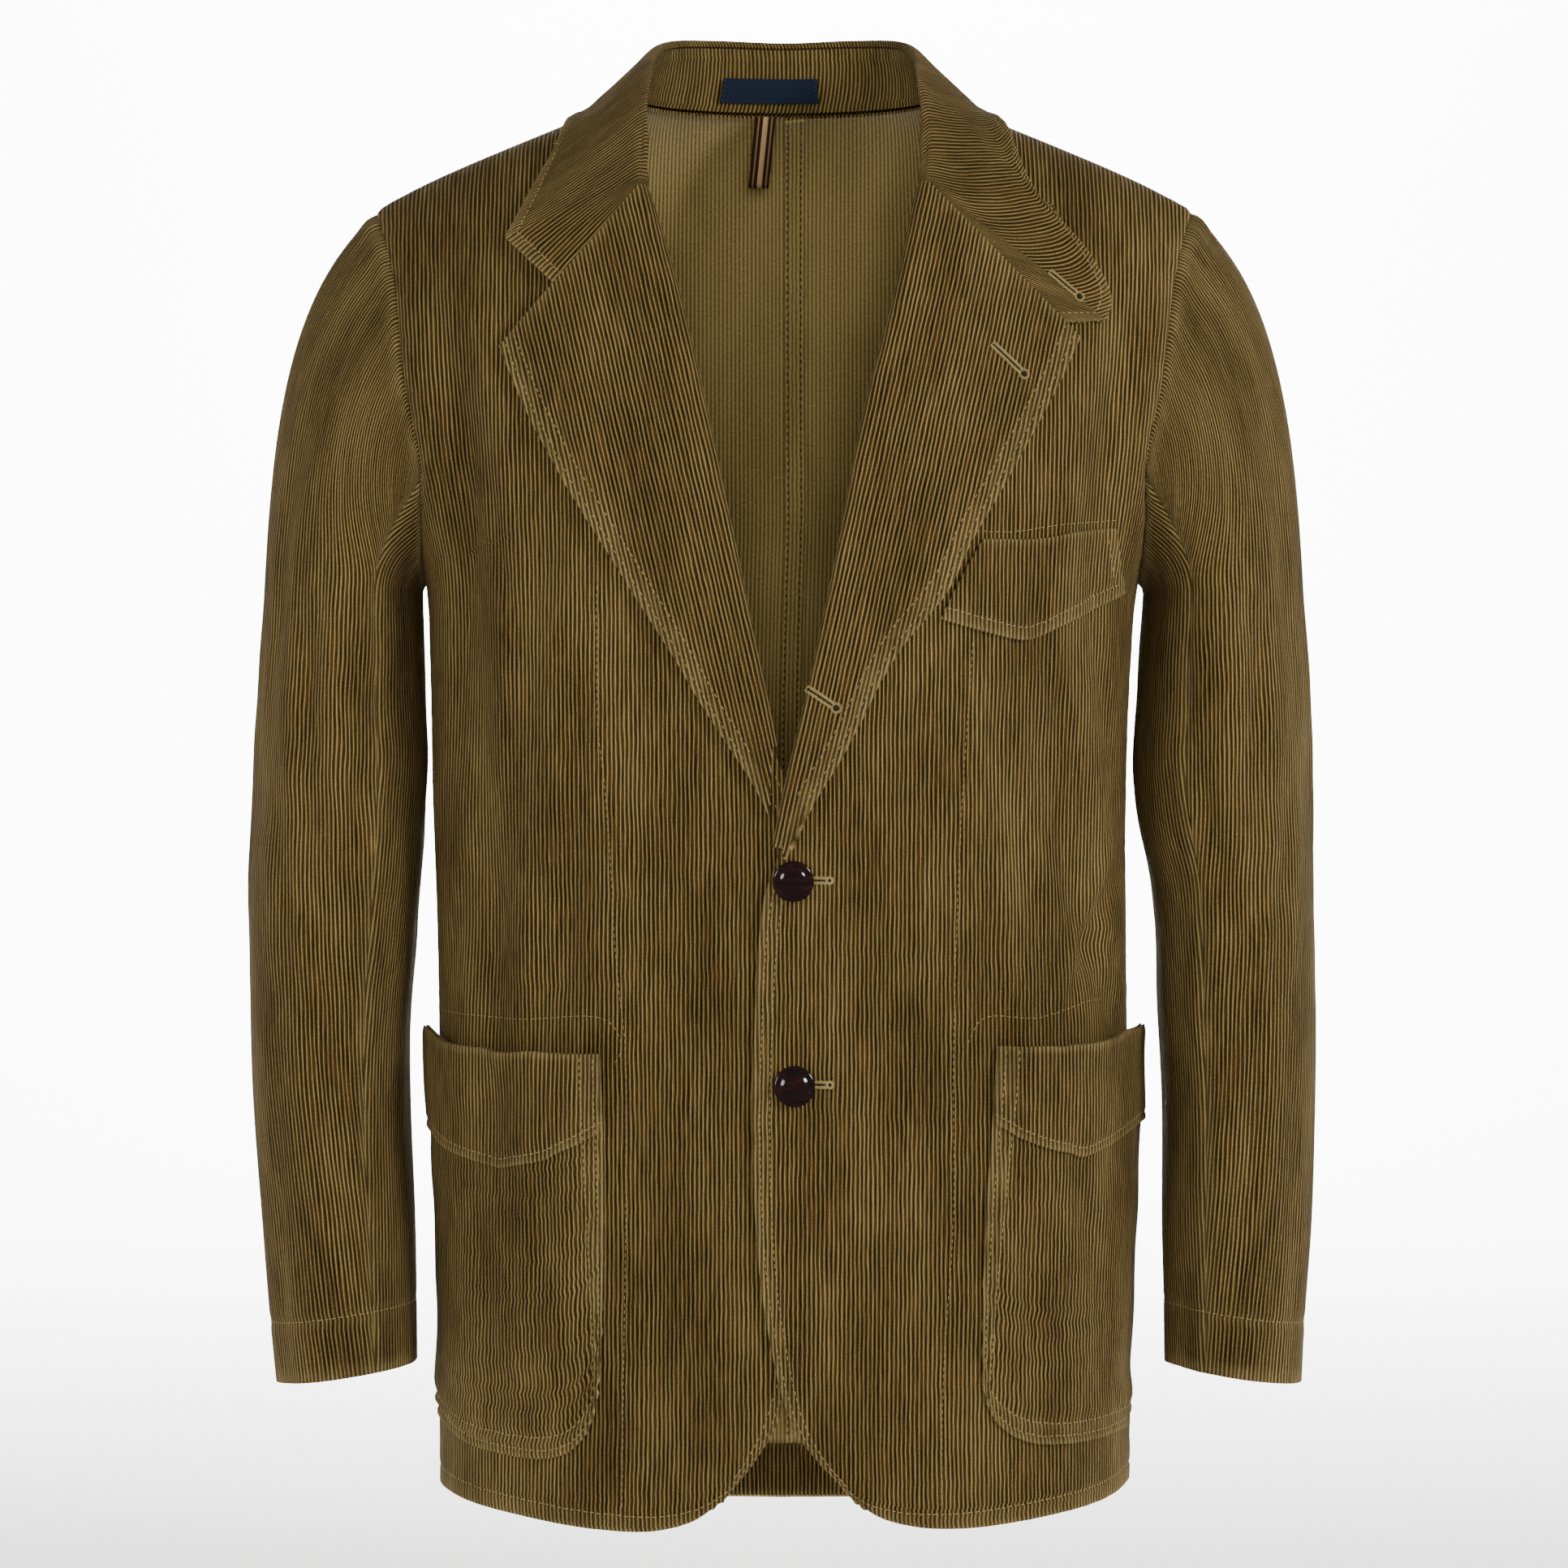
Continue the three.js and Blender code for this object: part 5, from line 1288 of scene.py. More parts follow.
print("pockets and flap")
pockets = {
    "left": {
        "inner": [(113, -507.5), (109.7, -553.7), (106, -600), (104.6, -660), (105.5, -690)],
        "bottom": [(105.5, -690), (110.5, -704), (119.7, -714), (133.4, -720.5), (149.5, -722),
                   (168, -721.3), (188, -718)],
        "mouth": [(113, -507.5), (135, -508), (155, -507.5), (175, -504), (189, -499)],
        "cuff": (-555, -567, -558),
    },
    "right": {
        "inner": [(-98.2, -511.5), (-97, -557), (-96.6, -603.6), (-97.2, -660), (-99.5, -694)],
        "bottom": [(-99.5, -694), (-104, -712), (-114, -724), (-126, -728.4), (-148, -728.1),
                   (-172, -723), (-187.5, -712)],
        "mouth": [(-98.2, -511.5), (-133.5, -511), (-156, -510), (-180, -506), (-188.3, -499)],
        "cuff": (-557, -570.5, -564),
    },
}
pocketLook = {"mouth": 9, "side": 5.5, "seam": 0.35, "body": 1.2, "stitches": (4.5, 12), "pucker": 0.9,
              "cuffPeak": 0.6, "cuffLift": 0.5, "cuffStitch": 5}
flapTop = [(105.5, -236.5), (137.7, -235.6), (156, -231.7), (179.3, -228.6)]
flapBottom = [(82.5, -279.5), (106.4, -286), (130.6, -290), (147.1, -282.3), (165.3, -273.6), (181.9, -263.7)]
flapLook = {"lift": 0.8, "stitches": (7.5,), "pucker": 0.6}


def pocketHeight(u, v):
    across = math.sin(math.pi * min(u * 1.04, 1)) ** 0.6
    mouth = pocketLook["mouth"] * v**3 * across
    side = pocketLook["side"] * u**3 * smooth(v, 0.1, 0.9)
    return pocketLook["seam"] + max(mouth, side) + pocketLook["body"] * across * smooth(v, 0, 0.3)


def pocketSag(p, fromEdge):
    return noise.noise(Vector((p.x * 0.03, 77, p.z * 0.03))) * 1.3 * smooth(fromEdge, 8, 30)


# The cut of a pocket's cloth, run outwards from its inner edge on either side of the body
def pocketCut(side, grid):
    cut = levelCut(grid, lambda p: p.x)
    return cut if side > 0 else [[(2 * row[0][0] - x, z) for x, z in row] for row in cut]


def pocket(side, key):
    shape = pockets[key]
    low, high = shape["bottom"][-1], shape["mouth"][-1]
    inner = turnRoute(shape["inner"][::-1])
    lowTurn, highTurn = turnOf(*low), turnOf(*high)

    def outer(v):
        return lerp(lowTurn, highTurn, v), lerp(low[1], high[1], v)

    def patchOf(us, vs):
        return patchGrid(us, vs, turnRoute(shape["bottom"]), turnRoute(shape["mouth"]), inner, outer)

    us = closeSteps(34, 100, (1, 2.4, 4.5, 7, 9.5, 12))
    vs = closeSteps(54, 210, (1, 2.4, 4.5, 7, 9.5, 12))
    base = onBody(-1, patchOf(us, vs))
    normals = normalsOf(base, side)
    innerReach, bottomReach = reaches(base)

    def edgeReach(j, i):
        return min(innerReach[j][i], bottomReach[j][i])

    def height(j, i):
        near = edgeReach(j, i)
        p = base[j][i]
        rise = pocketHeight(us[i], vs[j]) + cloth["wall"]
        rise += stitchGroove(near, pocketLook["stitches"]) * 1.2 + 0.5 * hump(near, 8, 3)
        rise += pucker(near, bottomReach[j][i] + innerReach[j][i], pocketLook["pucker"], 71 + side, 17)
        sag = pocketSag(p, near)
        bottomBag = 1.6 * hump(bottomReach[j][i], 18, 10) * smooth(innerReach[j][i], 10, 40)
        return rise + sag + bottomBag + 0.4

    grid = moved(base, normals, height)

    def wear(j, i):
        band = rubbed(edgeReach(j, i), 13)
        return worn(band, base[j][i])

    piece = clothMesh(f"patchPocket{key.capitalize()}", grid, side, pocketCut(side, grid), wear)
    thicken(piece, cloth["wall"], rightSide, inside, 0.6)
    declareCloth(piece, f"hip_pocket_{key}", grid)
    panels[f"pocket_{key}"] = {"grid": grid, "normals": normalsOf(grid, side)}

    cuffInner, cuffMiddle, cuffOuter = shape["cuff"]
    peak = pocketLook["cuffPeak"]
    topZ = inner(1)[1]

    def cuffLow(u):
        if u < peak:
            level = lerp(cuffInner, cuffMiddle, u / peak)
        else:
            level = lerp(cuffMiddle, cuffOuter, (u - peak) / (1 - peak))
        return (level - low[1]) / (topZ - low[1])

    cuffRows = closeSteps(16, 55, (1, 2.4, 4.5, 7))
    cuffTurns = [[None] * len(us) for _ in cuffRows]
    for i, u in enumerate(us):
        vsHere = [lerp(cuffLow(u), 1, v) for v in cuffRows]
        column = patchOf([0, u, 1] if 0 < u < 1 else [0, 1], vsHere)
        pick = 0 if u == 0 else 1
        for j in range(len(cuffRows)):
            cuffTurns[j][i] = column[j][pick]
    cuffBase = onBody(-1, cuffTurns)
    cuffNormals = normalsOf(cuffBase, side)
    cuffReach, cuffBottom = reaches(cuffBase)

    def cuffHeight(j, i):
        u = us[i]
        v = lerp(cuffLow(u), 1, cuffRows[j])
        p = cuffBase[j][i]
        toMouth = cuffBottom[-1][i] - cuffBottom[j][i]
        rise = pocketHeight(u, v) + cloth["wall"] * 2 + 0.9 + pocketLook["cuffLift"]
        fromInner, fromLow = cuffReach[j][i], cuffBottom[j][i]
        sag = pocketSag(p, fromInner)
        rise += stitchGroove(fromLow, (pocketLook["cuffStitch"],))
        rise += stitchGroove(fromInner, pocketLook["stitches"])
        rise += pucker(fromLow, fromInner, 0.6, 81 + side, 12) + pucker(fromInner, p.z, 0.6, 83, 12)
        return rise + sag - 0.8 * hump(toMouth, 0, 2.4)

    cuff = moved(cuffBase, cuffNormals, cuffHeight)

    def cuffWear(j, i):
        band = max(rubbed(cuffReach[j][i], 13), rubbed(cuffBottom[j][i], 6),
                   0.8 * (1 - smooth(cuffBottom[-1][i] - cuffBottom[j][i], 1, 5)))
        return worn(band, cuffBase[j][i])

    piece = clothMesh(f"pocketCuff{key.capitalize()}", cuff, side, pocketCut(side, cuff), cuffWear)
    thicken(piece, cloth["wall"], rightSide, inside, 0.6)
    declareCloth(piece, f"hip_pocket_cuff_{key}", cuff)
    panels[f"cuff_{key}"] = {"grid": cuff, "normals": normalsOf(cuff, side)}


def chestFlap():
    top, bottom = turnRoute(flapTop), turnRoute(flapBottom)

    def between(t):
        a, b = bottom(t), top(t)
        return lambda v: (lerp(a[0], b[0], v), lerp(a[1], b[1], v))

    us = closeSteps(38, 100, (1, 2.4, 4.5, 7))
    vs = closeSteps(20, 50, (1, 2.4, 4.5, 7))
    turns = patchGrid(us, vs, bottom, top, between(0), between(1))
    base = onBody(-1, turns)
    normals = normalsOf(base, 1)
    endReach, bottomReach = reaches(base)

    def edges(j, i):
        return bottomReach[j][i], endReach[j][-1] - endReach[j][i], bottomReach[-1][i] - bottomReach[j][i]

    def height(j, i):
        fromLow, toEnd, toTop = edges(j, i)
        near = min(fromLow, toEnd)
        rise = cloth["seamGap"] + cloth["wall"] + 0.5 + flapLook["lift"] * (1 - vs[j])
        rise += stitchGroove(near, flapLook["stitches"])
        rise += pucker(near, endReach[j][i], flapLook["pucker"], 91, 12)
        return rise - 0.7 * hump(toTop, 0, 2)

    grid = moved(base, normals, height)

    def wear(j, i):
        fromLow, toEnd, toTop = edges(j, i)
        band = max(rubbed(min(fromLow, toEnd), 8), 0.6 * rubbed(toTop, 4))
        return worn(band, base[j][i], 0.85)

    piece = clothMesh("chestPocketFlap", grid, 1, levelCut(grid, lambda p: p.x), wear)
    thicken(piece, cloth["wall"], rightSide, inside, 0.6)
    declareCloth(piece, "chest_flap", grid)
    panels["chest_flap"] = {"grid": grid, "normals": normalsOf(grid, 1)}


for side, key in sides:
    pocket(side, key)
chestFlap()
def plainFinish(name, colour, roughness):
    material = bpy.data.materials.new(name)
    material.use_nodes = True
    shader = material.node_tree.nodes["Principled BSDF"]
    shader.inputs["Base Color"].default_value = (*colour, 1)
    shader.inputs["Roughness"].default_value = roughness
    return material


print("topstitching")
thread = {"length": 2.7, "gap": 1.1, "width": 0.62, "height": 0.5, "sink": 0.05,
          "colour": (0.23, 0.172, 0.066), "dark": (0.022, 0.014, 0.004)}


# A line on a grid at a set distance from one of its edges, as points with normals
def lineFrom(panel, edge, inset, low=0.0, high=1.0, keep=None):
    grid, normals = panel["grid"], panel["normals"]
    rows, columns = len(grid), len(grid[0])
    if edge in ("start", "end"):
        lanes = [[(j, i) for i in range(columns)] for j in range(rows)]
    else:
        lanes = [[(j, i) for j in range(rows)] for i in range(columns)]
    if edge in ("end", "top"):
        lanes = [lane[::-1] for lane in lanes]
    lanes = lanes[int(low * (len(lanes) - 1)): int(high * (len(lanes) - 1)) + 1]
    line = []
    for lane in lanes:
        left = inset
        for (j, i), (jj, ii) in zip(lane, lane[1:]):
            a, b = grid[j][i], grid[jj][ii]
            span = (b - a).length
            if left <= span:
                share = left / span if span else 0
                point = a.lerp(b, share)
                if keep is None or keep(point):
                    line.append((point, normals[j][i].lerp(normals[jj][ii], share).normalized()))
                break
            left -= span
    return line


# A point and normal of a panel's cloth seen straight from the front at x and z
def onPanel(panel, x, z):
    best, found = 1e9, None
    for row, normals in zip(panel["grid"], panel["normals"]):
        for p, n in zip(row, normals):
            far = (p.x - x) ** 2 + (p.z - z) ** 2
            if far < best and n.y < -0.05:
                best, found = far, (p, n)
    p, n = found
    return Vector((x, p.y - (n.x * (x - p.x) + n.z * (z - p.z)) / n.y, z)), n


def drawnLine(panel, places, apart=4):
    curve = route([Vector((x, 0, z)) for x, z in places])
    length = sum(math.dist(a, b) for a, b in zip(places, places[1:]))
    count = max(int(length / apart), 2)
    return [onPanel(panel, curve(t).x, curve(t).z) for t in steps(count)]


def addStitch(stitches, middle, ahead, normal, length, width, height):
    ahead = ahead.normalized()
    aside = normal.cross(ahead).normalized()
    up = ahead.cross(aside)
    place = Matrix((aside * width * mm, up * height * mm, ahead * length * mm)).transposed().to_4x4()
    place.translation = middle * mm
    stitches.append(place)


def sew(stitches, line, length=None, gap=None, width=None):
    length, gap = length or thread["length"], gap or thread["gap"]
    width = width or thread["width"]
    reach = [0]
    for (a, _), (b, _) in zip(line, line[1:]):
        reach.append(reach[-1] + (b - a).length)
    if len(line) < 2 or reach[-1] < length:
        return

    def at(way):
        i = min(max(bisect.bisect_right(reach, way) - 1, 0), len(line) - 2)
        share = (way - reach[i]) / max(reach[i + 1] - reach[i], 1e-6)
        return line[i][0].lerp(line[i + 1][0], share), line[i][1].lerp(line[i + 1][1], share).normalized()

    way = gap / 2
    while way + length < reach[-1]:
        (a, na), (b, nb) = at(way), at(way + length)
        normal = (na + nb).normalized()
        middle = (a + b) / 2 + normal * thread["sink"]
        middle += normal.cross(b - a).normalized() * dice.uniform(-0.12, 0.12)
        addStitch(stitches, middle, b - a, normal, length * dice.uniform(0.94, 1.04), width, thread["height"])
        way += length + gap


def threadFinish(name, colour):
    material = bpy.data.materials.new(name)
    material.use_nodes = True
    w = Wires(material.node_tree)
    shader = w.nodes["Principled BSDF"]
    place = w.add("ShaderNodeTexCoord").outputs["Object"]
    mottle = w.noise(place, 900, 2)
    tone = w.mix(mottle, tuple(c * 0.7 for c in colour), tuple(c * 1.35 for c in colour))
    bump = w.add("ShaderNodeBump")
    bump.inputs["Strength"].default_value = 0.5
    bump.inputs["Distance"].default_value = 0.0001
    w.join(w.noise(place, 4000, 1), bump.inputs["Height"])
    w.join(tone, shader.inputs["Base Color"])
    w.join(bump.outputs[0], shader.inputs["Normal"])
    shader.inputs["Roughness"].default_value = 0.7
    shader.inputs["Specular IOR Level"].default_value = 0.25
    return material


def finishParts(name, bm, material, node=None):
    for face in bm.faces:
        face.smooth = True
    mesh = bpy.data.meshes.new(name)
    bm.to_mesh(mesh)
    bm.free()
    piece = bpy.data.objects.new(name, mesh)
    piece.data.materials.append(material)
    bpy.context.scene.collection.objects.link(piece)
    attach(piece, "root")
    if node:
        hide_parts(node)
    print(" ", name, len(mesh.polygons))
    return piece


# Stitches are made a few at a time, because a sphere is slow to add to a large mesh
def finishStitches(name, stitches, material):
    bm = bmesh.new()
    for k in range(0, len(stitches), 60):
        few = bmesh.new()
        for place in stitches[k:k + 60]:
            bmesh.ops.create_uvsphere(few, u_segments=6, v_segments=3, radius=0.5, matrix=place)
        mesh = bpy.data.meshes.new("few")
        few.to_mesh(mesh)
        few.free()
        bm.from_mesh(mesh)
        bpy.data.meshes.remove(mesh)
    finishParts(name, bm, material)


sewingThread = threadFinish("sewingThread", thread["colour"])
buttonholeThread = threadFinish("buttonholeThread", (0.25, 0.186, 0.066))
shadow = plainFinish("slitShade", (0.006, 0.004, 0.002), 0.9)

facingLines = {
    "left": [(100.7, -291), (94.8, -382), (90.6, -512), (90.5, -598), (85.2, -681), (83.9, -754)],
    "right": [(-99.8, -261), (-99.8, -308), (-99, -342), (-96.5, -361), (-91.9, -423), (-91, -446),
              (-88, -479.5), (-85, -507.6), (-86.5, -754)],
}
innerPocketLines = {
    "left": [(98, -507), (106, -493), (137.8, -492.7), (166, -484.4), (174.5, -484)],
    "right": [(-90.6, -517), (-86.7, -509), (-94.5, -493.8), (-144, -493.7), (-188, -491)],
}
flapLines = [[(94, -231.5), (120, -232.5), (150, -228), (180.5, -224.5)], [(179.5, -229), (181.5, -262)]]


def topstitching():
    for side, key in sides:
        stitches = []
        front = panels[f"front_{key}"]
        end = lapelRollEnds[key]
        for inset in edgeStitch["front"]:
            sew(stitches, lineFrom(front, "start", inset, keep=lambda p: -742 < p.z < end - 12))
        sew(stitches, lineFrom(front, "bottom", edgeStitch["hem"], low=0.03))
        for line in (facingLines[key], innerPocketLines[key]):
            sew(stitches, drawnLine(front, line), width=0.42)
        if side > 0:
            for line in flapLines:
                sew(stitches, drawnLine(front, line), width=0.5)
        finishStitches(f"stitchingFront{key.capitalize()}", stitches, sewingThread)

        stitches = []
        turned = panels[f"lapel_{key}"]
        for inset in lapelLook["stitches"]:
            sew(stitches, lineFrom(turned, "end", inset, low=0.05))
        finishStitches(f"stitchingLapel{key.capitalize()}", stitches, sewingThread)

        stitches = []
        sewn = panels[f"pocket_{key}"]
        cuffed = panels[f"cuff_{key}"]
        for inset in pocketLook["stitches"]:
            sew(stitches, lineFrom(sewn, "start", inset, low=0.12, high=0.86))
            sew(stitches, lineFrom(sewn, "bottom", inset, low=0.12))
            sew(stitches, lineFrom(cuffed, "start", inset))
        sew(stitches, lineFrom(cuffed, "bottom", pocketLook["cuffStitch"], low=0.02))
        finishStitches(f"stitchingPocket{key.capitalize()}", stitches, sewingThread)

        stitches = []
        for part in ("upper", "under"):
            sew(stitches, lineFrom(panels[f"sleeve_{part}_{key}"], "top", cuffStitch), width=0.5)
        finishStitches(f"stitchingCuff{key.capitalize()}", stitches, sewingThread)

        stitches = []
        back = panels[f"back_{key}"]
        for inset in felled if side > 0 else ():
            sew(stitches, lineFrom(back, "start", inset))
        sew(stitches, lineFrom(back, "bottom", turnUp["stitch"]))
        finishStitches(f"stitchingBack{key.capitalize()}", stitches, sewingThread)

    stitches = []
    flap = panels["chest_flap"]
    sew(stitches, lineFrom(flap, "bottom", 7, low=0.02, high=0.97))
    sew(stitches, lineFrom(flap, "end", 7, low=0.2))
    finishStitches("stitchingFlap", stitches, sewingThread)
    stitches = []
    fall = panels["collar_fall"]
    for inset in collarLook["stitches"]:
        sew(stitches, lineFrom(fall, "end", inset))
    finishStitches("stitchingCollar", stitches, sewingThread)
    stitches = []
    stand = panels["collar_stand"]
    for edge, inset in zip(("start", "end"), standStitches):
        line = [(p, -n) for p, n in lineFrom(stand, edge, inset)]
        line = [(p + n * (cloth["wall"] + 0.3), n) for p, n in line]
        sew(stitches, line, width=0.5)
    finishStitches("stitchingStand", stitches, sewingThread)


topstitching()

print("buttonholes")
buttonholes = [  # panel, start x, z, end x, z, eyelet radius
    ("lapel_left", 112, -132, 129, -148, 1.7),
    ("lapel_left", 12.9, -317, 28.2, -327.3, 1.7),
    ("collar_fall", 144, -91, 160, -104.4, 1.7),
    ("front_left", 9.5, -418.3, 24.6, -418.6, 0.9),
    ("front_left", 10, -527.2, 24.8, -527.6, 0.9),
]


def buttonhole(sewn, slit, panel, x0, z0, x1, z1, eyelet):
    ends = [onPanel(panel, x0, z0)[0], onPanel(panel, x1, z1)[0]]
    length = (ends[1] - ends[0]).length
    count = int(length / 0.66)
    for k in range(count + 1):
        t = k / count
        point, normal = onPanel(panel, lerp(x0, x1, t), lerp(z0, z1, t))
        ahead = (ends[1] - ends[0]).normalized()
        aside = normal.cross(ahead).normalized()
        if t * length < length - eyelet * 1.7:
            for way in (-1, 1):
                spot = point + aside * way * (1.35 + dice.uniform(-0.12, 0.12)) + normal * 0.55
                addStitch(sewn, spot, aside * way + ahead * dice.uniform(-0.25, 0.25), normal, 2.1, 0.7, 0.9)
            addStitch(slit, point + normal * 0.5, ahead, normal, 1.6, 0.95, 0.5)
        if k == 0:
            for way in (-1.1, -0.4, 0.4, 1.1):
                addStitch(sewn, point - ahead * 0.7 + aside * way + normal * 0.6, aside, normal, 2.1, 0.8, 1)
    centre = point - ahead * eyelet * 0.4 + normal * 0.55
    turns = 17
    for k in range(turns):
        angle = 2 * math.pi * k / turns
        way = ahead * math.cos(angle) + aside * math.sin(angle)
        addStitch(sewn, centre + way * (eyelet + 0.8), way, normal, 1.9, 0.72, 0.9)
    addStitch(slit, centre - normal * 0.1, ahead, normal, eyelet * 2, eyelet * 1.9, 0.7)


satin, slits = [], []
for name, *place in buttonholes:
    buttonhole(satin, slits, panels[name], *place)
finishStitches("buttonholeStitches", satin, buttonholeThread)
finishStitches("buttonholeSlits", slits, shadow)

print("buttons")
button = {"diameter": 22, "thickness": 4, "seat": 0.7, "segments": 64}
buttonPlaces = [("button_top", "hornButtonTop", 5, -419), ("button_bottom", "hornButtonBottom", 5.6, -528.3)]
buttonProfile = [  # share of the radius, share of the thickness
    (0.0, 0.02), (0.5, 0.0), (0.78, 0.12), (0.93, 0.26), (1.0, 0.42), (0.985, 0.54), (0.94, 0.64),
    (0.87, 0.69), (0.81, 0.67), (0.76, 0.6), (0.72, 0.57), (0.67, 0.61), (0.61, 0.72), (0.53, 0.83),
    (0.42, 0.92), (0.28, 0.97), (0.14, 0.995), (0.0, 1.0),
]


def hornFinish():
    material = bpy.data.materials.new("horn")
    material.use_nodes = True
    w = Wires(material.node_tree)
    shader = w.nodes["Principled BSDF"]
    place = w.add("ShaderNodeTexCoord").outputs["Object"]
    streak = w.noise(w.stretched(place, (90, 90, 420)), 1, 5, 0.6)
    tone = ramp(w.nodes, [
        (0.38, (0.0035, 0.0012, 0.0012)), (0.72, (0.028, 0.004, 0.003)), (0.55, (0.009, 0.002, 0.0018)),
    ])
    w.join(streak, tone.inputs[0])
    w.join(tone.outputs[0], shader.inputs["Base Color"])
    w.join(w.maths("ADD", 0.07, w.maths("MULTIPLY", w.noise(place, 700, 3), 0.1)), shader.inputs["Roughness"])
    shader.inputs["Coat Weight"].default_value = 0.25
    shader.inputs["Coat Roughness"].default_value = 0.03
    shader.inputs["Specular IOR Level"].default_value = 0.35
    return material


horn = hornFinish()


def hornButton(node, name, x, z):
    radius, thick = button["diameter"] / 2, button["thickness"]
    bm = bmesh.new()
    places = [bm.verts.new((r * radius, 0, h * thick)) for r, h in buttonProfile]
    outline = [bm.edges.new(pair) for pair in zip(places, places[1:])]
    bmesh.ops.spin(bm, geom=places + outline, axis=(0, 0, 1), cent=(0, 0, 0), angle=2 * math.pi,
                   steps=button["segments"], use_merge=True)
    bmesh.ops.remove_doubles(bm, verts=bm.verts, dist=0.001)
    bmesh.ops.recalc_face_normals(bm, faces=bm.faces)

    def faceAt(height):
        return formPoint(-1, x, height).y - overlapHeight(x, height)

    slope = (faceAt(z + radius) - faceAt(z - radius)) / (2 * radius)
    turn = Matrix.Rotation(math.pi / 2 - math.atan(slope), 3, "X")
    seat = Vector((x, faceAt(z) - button["seat"], z))
    for v in bm.verts:
        v.co = (turn @ v.co + seat) * mm
    finishParts(name, bm, horn, node=node)


for place in buttonPlaces:
    hornButton(*place)

print("label and loop")
label = {"from": -0.86, "to": 0.46, "low": 0.12, "high": 0.54, "thick": 0.8}
loop = {
    "x": -10.5, "width": 11.5, "top": 11, "drop": 40, "gap": 5.4, "thick": 1.3, "lean": 0.1, "clear": 3.8,
    "ground": (0.022, 0.008, 0.004), "line": (0.13, 0.09, 0.045), "middle": (0.30, 0.20, 0.09),
    "beside": (0.22, 0.15, 0.075),
}


def wovenFinish(name, colour, weave=1500):
    material = bpy.data.materials.new(name)
    material.use_nodes = True
    w = Wires(material.node_tree)
    shader = w.nodes["Principled BSDF"]
    cut = w.add("ShaderNodeUVMap", uv_map="cut").outputs[0]
    split = w.add("ShaderNodeSeparateXYZ")
    w.join(cut, split.inputs[0])
    warp = w.maths("PINGPONG", w.maths("MULTIPLY", split.outputs[0], weave), 0.5)
    weft = w.maths("PINGPONG", w.maths("MULTIPLY", split.outputs[1], weave), 0.5)
    grain = w.maths("ADD", warp, weft)
    tone = w.mix(grain, tuple(c * 0.7 for c in colour), tuple(c * 1.4 for c in colour))
    bump = w.add("ShaderNodeBump")
    bump.inputs["Strength"].default_value = 0.6
    bump.inputs["Distance"].default_value = 0.0002
    w.join(grain, bump.inputs["Height"])
    w.join(tone, shader.inputs["Base Color"])
    w.join(bump.outputs[0], shader.inputs["Normal"])
    shader.inputs["Roughness"].default_value = 0.85
    shader.inputs["Specular IOR Level"].default_value = 0.08
    return material


def loopFinish():
    material = wovenFinish("loopTape", (0.030, 0.012, 0.006), 1300)
    w = Wires(material.node_tree)
    shader = w.nodes["Principled BSDF"]
    cut = w.add("ShaderNodeUVMap", uv_map="cut").outputs[0]
    split = w.add("ShaderNodeSeparateXYZ")
    w.join(cut, split.inputs[0])
    band = w.maths("DIVIDE", split.outputs[0], loop["width"] * mm)
    ground, line, middle, besideMiddle = loop["ground"], loop["line"], loop["middle"], loop["beside"]
    stripes = ramp(w.nodes, [
        (0.0, ground), (1.0, ground), (0.16, line), (0.24, ground), (0.40, middle), (0.60, besideMiddle),
        (0.66, ground), (0.80, line), (0.88, ground),
    ])
    stripes.color_ramp.interpolation = "CONSTANT"
    w.join(band, stripes.inputs[0])
    yarn = w.noise(w.stretched(cut, (900, 2600, 1)), 1, 2)
    dim = w.add("ShaderNodeCombineColor")
    level = w.maths("ADD", 0.55, w.maths("MULTIPLY", yarn, 0.9))
    for k in range(3):
        w.join(level, dim.inputs[k])
    w.join(w.mix(1.0, stripes.outputs[0], dim.outputs[0], "MULTIPLY"), shader.inputs["Base Color"])
    return material


def neckLabel():
    stand = panels["collar_stand"]
    grid = stand["grid"]
    middle, perSection = (len(grid) - 1) / 2, 8
    us = closeSteps(20, 54, (0.8, 2))
    vs = closeSteps(10, 13, (0.8, 2))
    across = closeSteps(18, 36, (1, 2.4, 4))
    rows = []
    for v in vs:
        line = []
        for u in us:
            j = middle + lerp(label["from"], label["to"], u) * perSection
            share = lerp(label["low"], label["high"], v)
            i = bisect.bisect_right(across, share) - 1
            t = (share - across[i]) / (across[i + 1] - across[i])
            low, high = grid[int(j)], grid[min(int(j) + 1, len(grid) - 1)]
            line.append(low[i].lerp(low[i + 1], t).lerp(high[i].lerp(high[i + 1], t), j - int(j)))
        rows.append(line)
    normals = normalsOf(rows, 1)
    if normals[0][0].y > 0:
        normals = [[-n for n in row] for row in normals]
    lift = cloth["wall"] + 0.3 + cloth["seamGap"] + 0.35
    edge = len(us) - 1
    shaped = moved(rows, normals, lambda j, i: lift + label["thick"] * 0.6 - 0.35 * (i in (0, edge)))
    cut = [[(p.x * mm, p.z * mm) for p in row] for row in shaped]
    outward = 1 if normalsOf(shaped, 1)[0][0].y < 0 else -1
    piece = clothMesh("neckLabel", shaped, outward, cut)
    navy = wovenFinish("navyLabel", (0.0085, 0.0125, 0.024), 2600)
    thicken(piece, label["thick"], navy, navy, 0.3)
    flat, area = cutSize(shaped)
    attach(piece, "root")
    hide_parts("neck_label")
    stitches = []
    panel = {"grid": shaped, "normals": normalsOf(shaped, outward)}
    for name, inset in (("start", 1.3), ("end", 1.3)):
        sew(stitches, lineFrom(panel, name, inset), length=1.6, gap=1.2, width=0.4)
    finishStitches("labelStitches", stitches, threadFinish("navyThread", (0.05, 0.055, 0.07)))


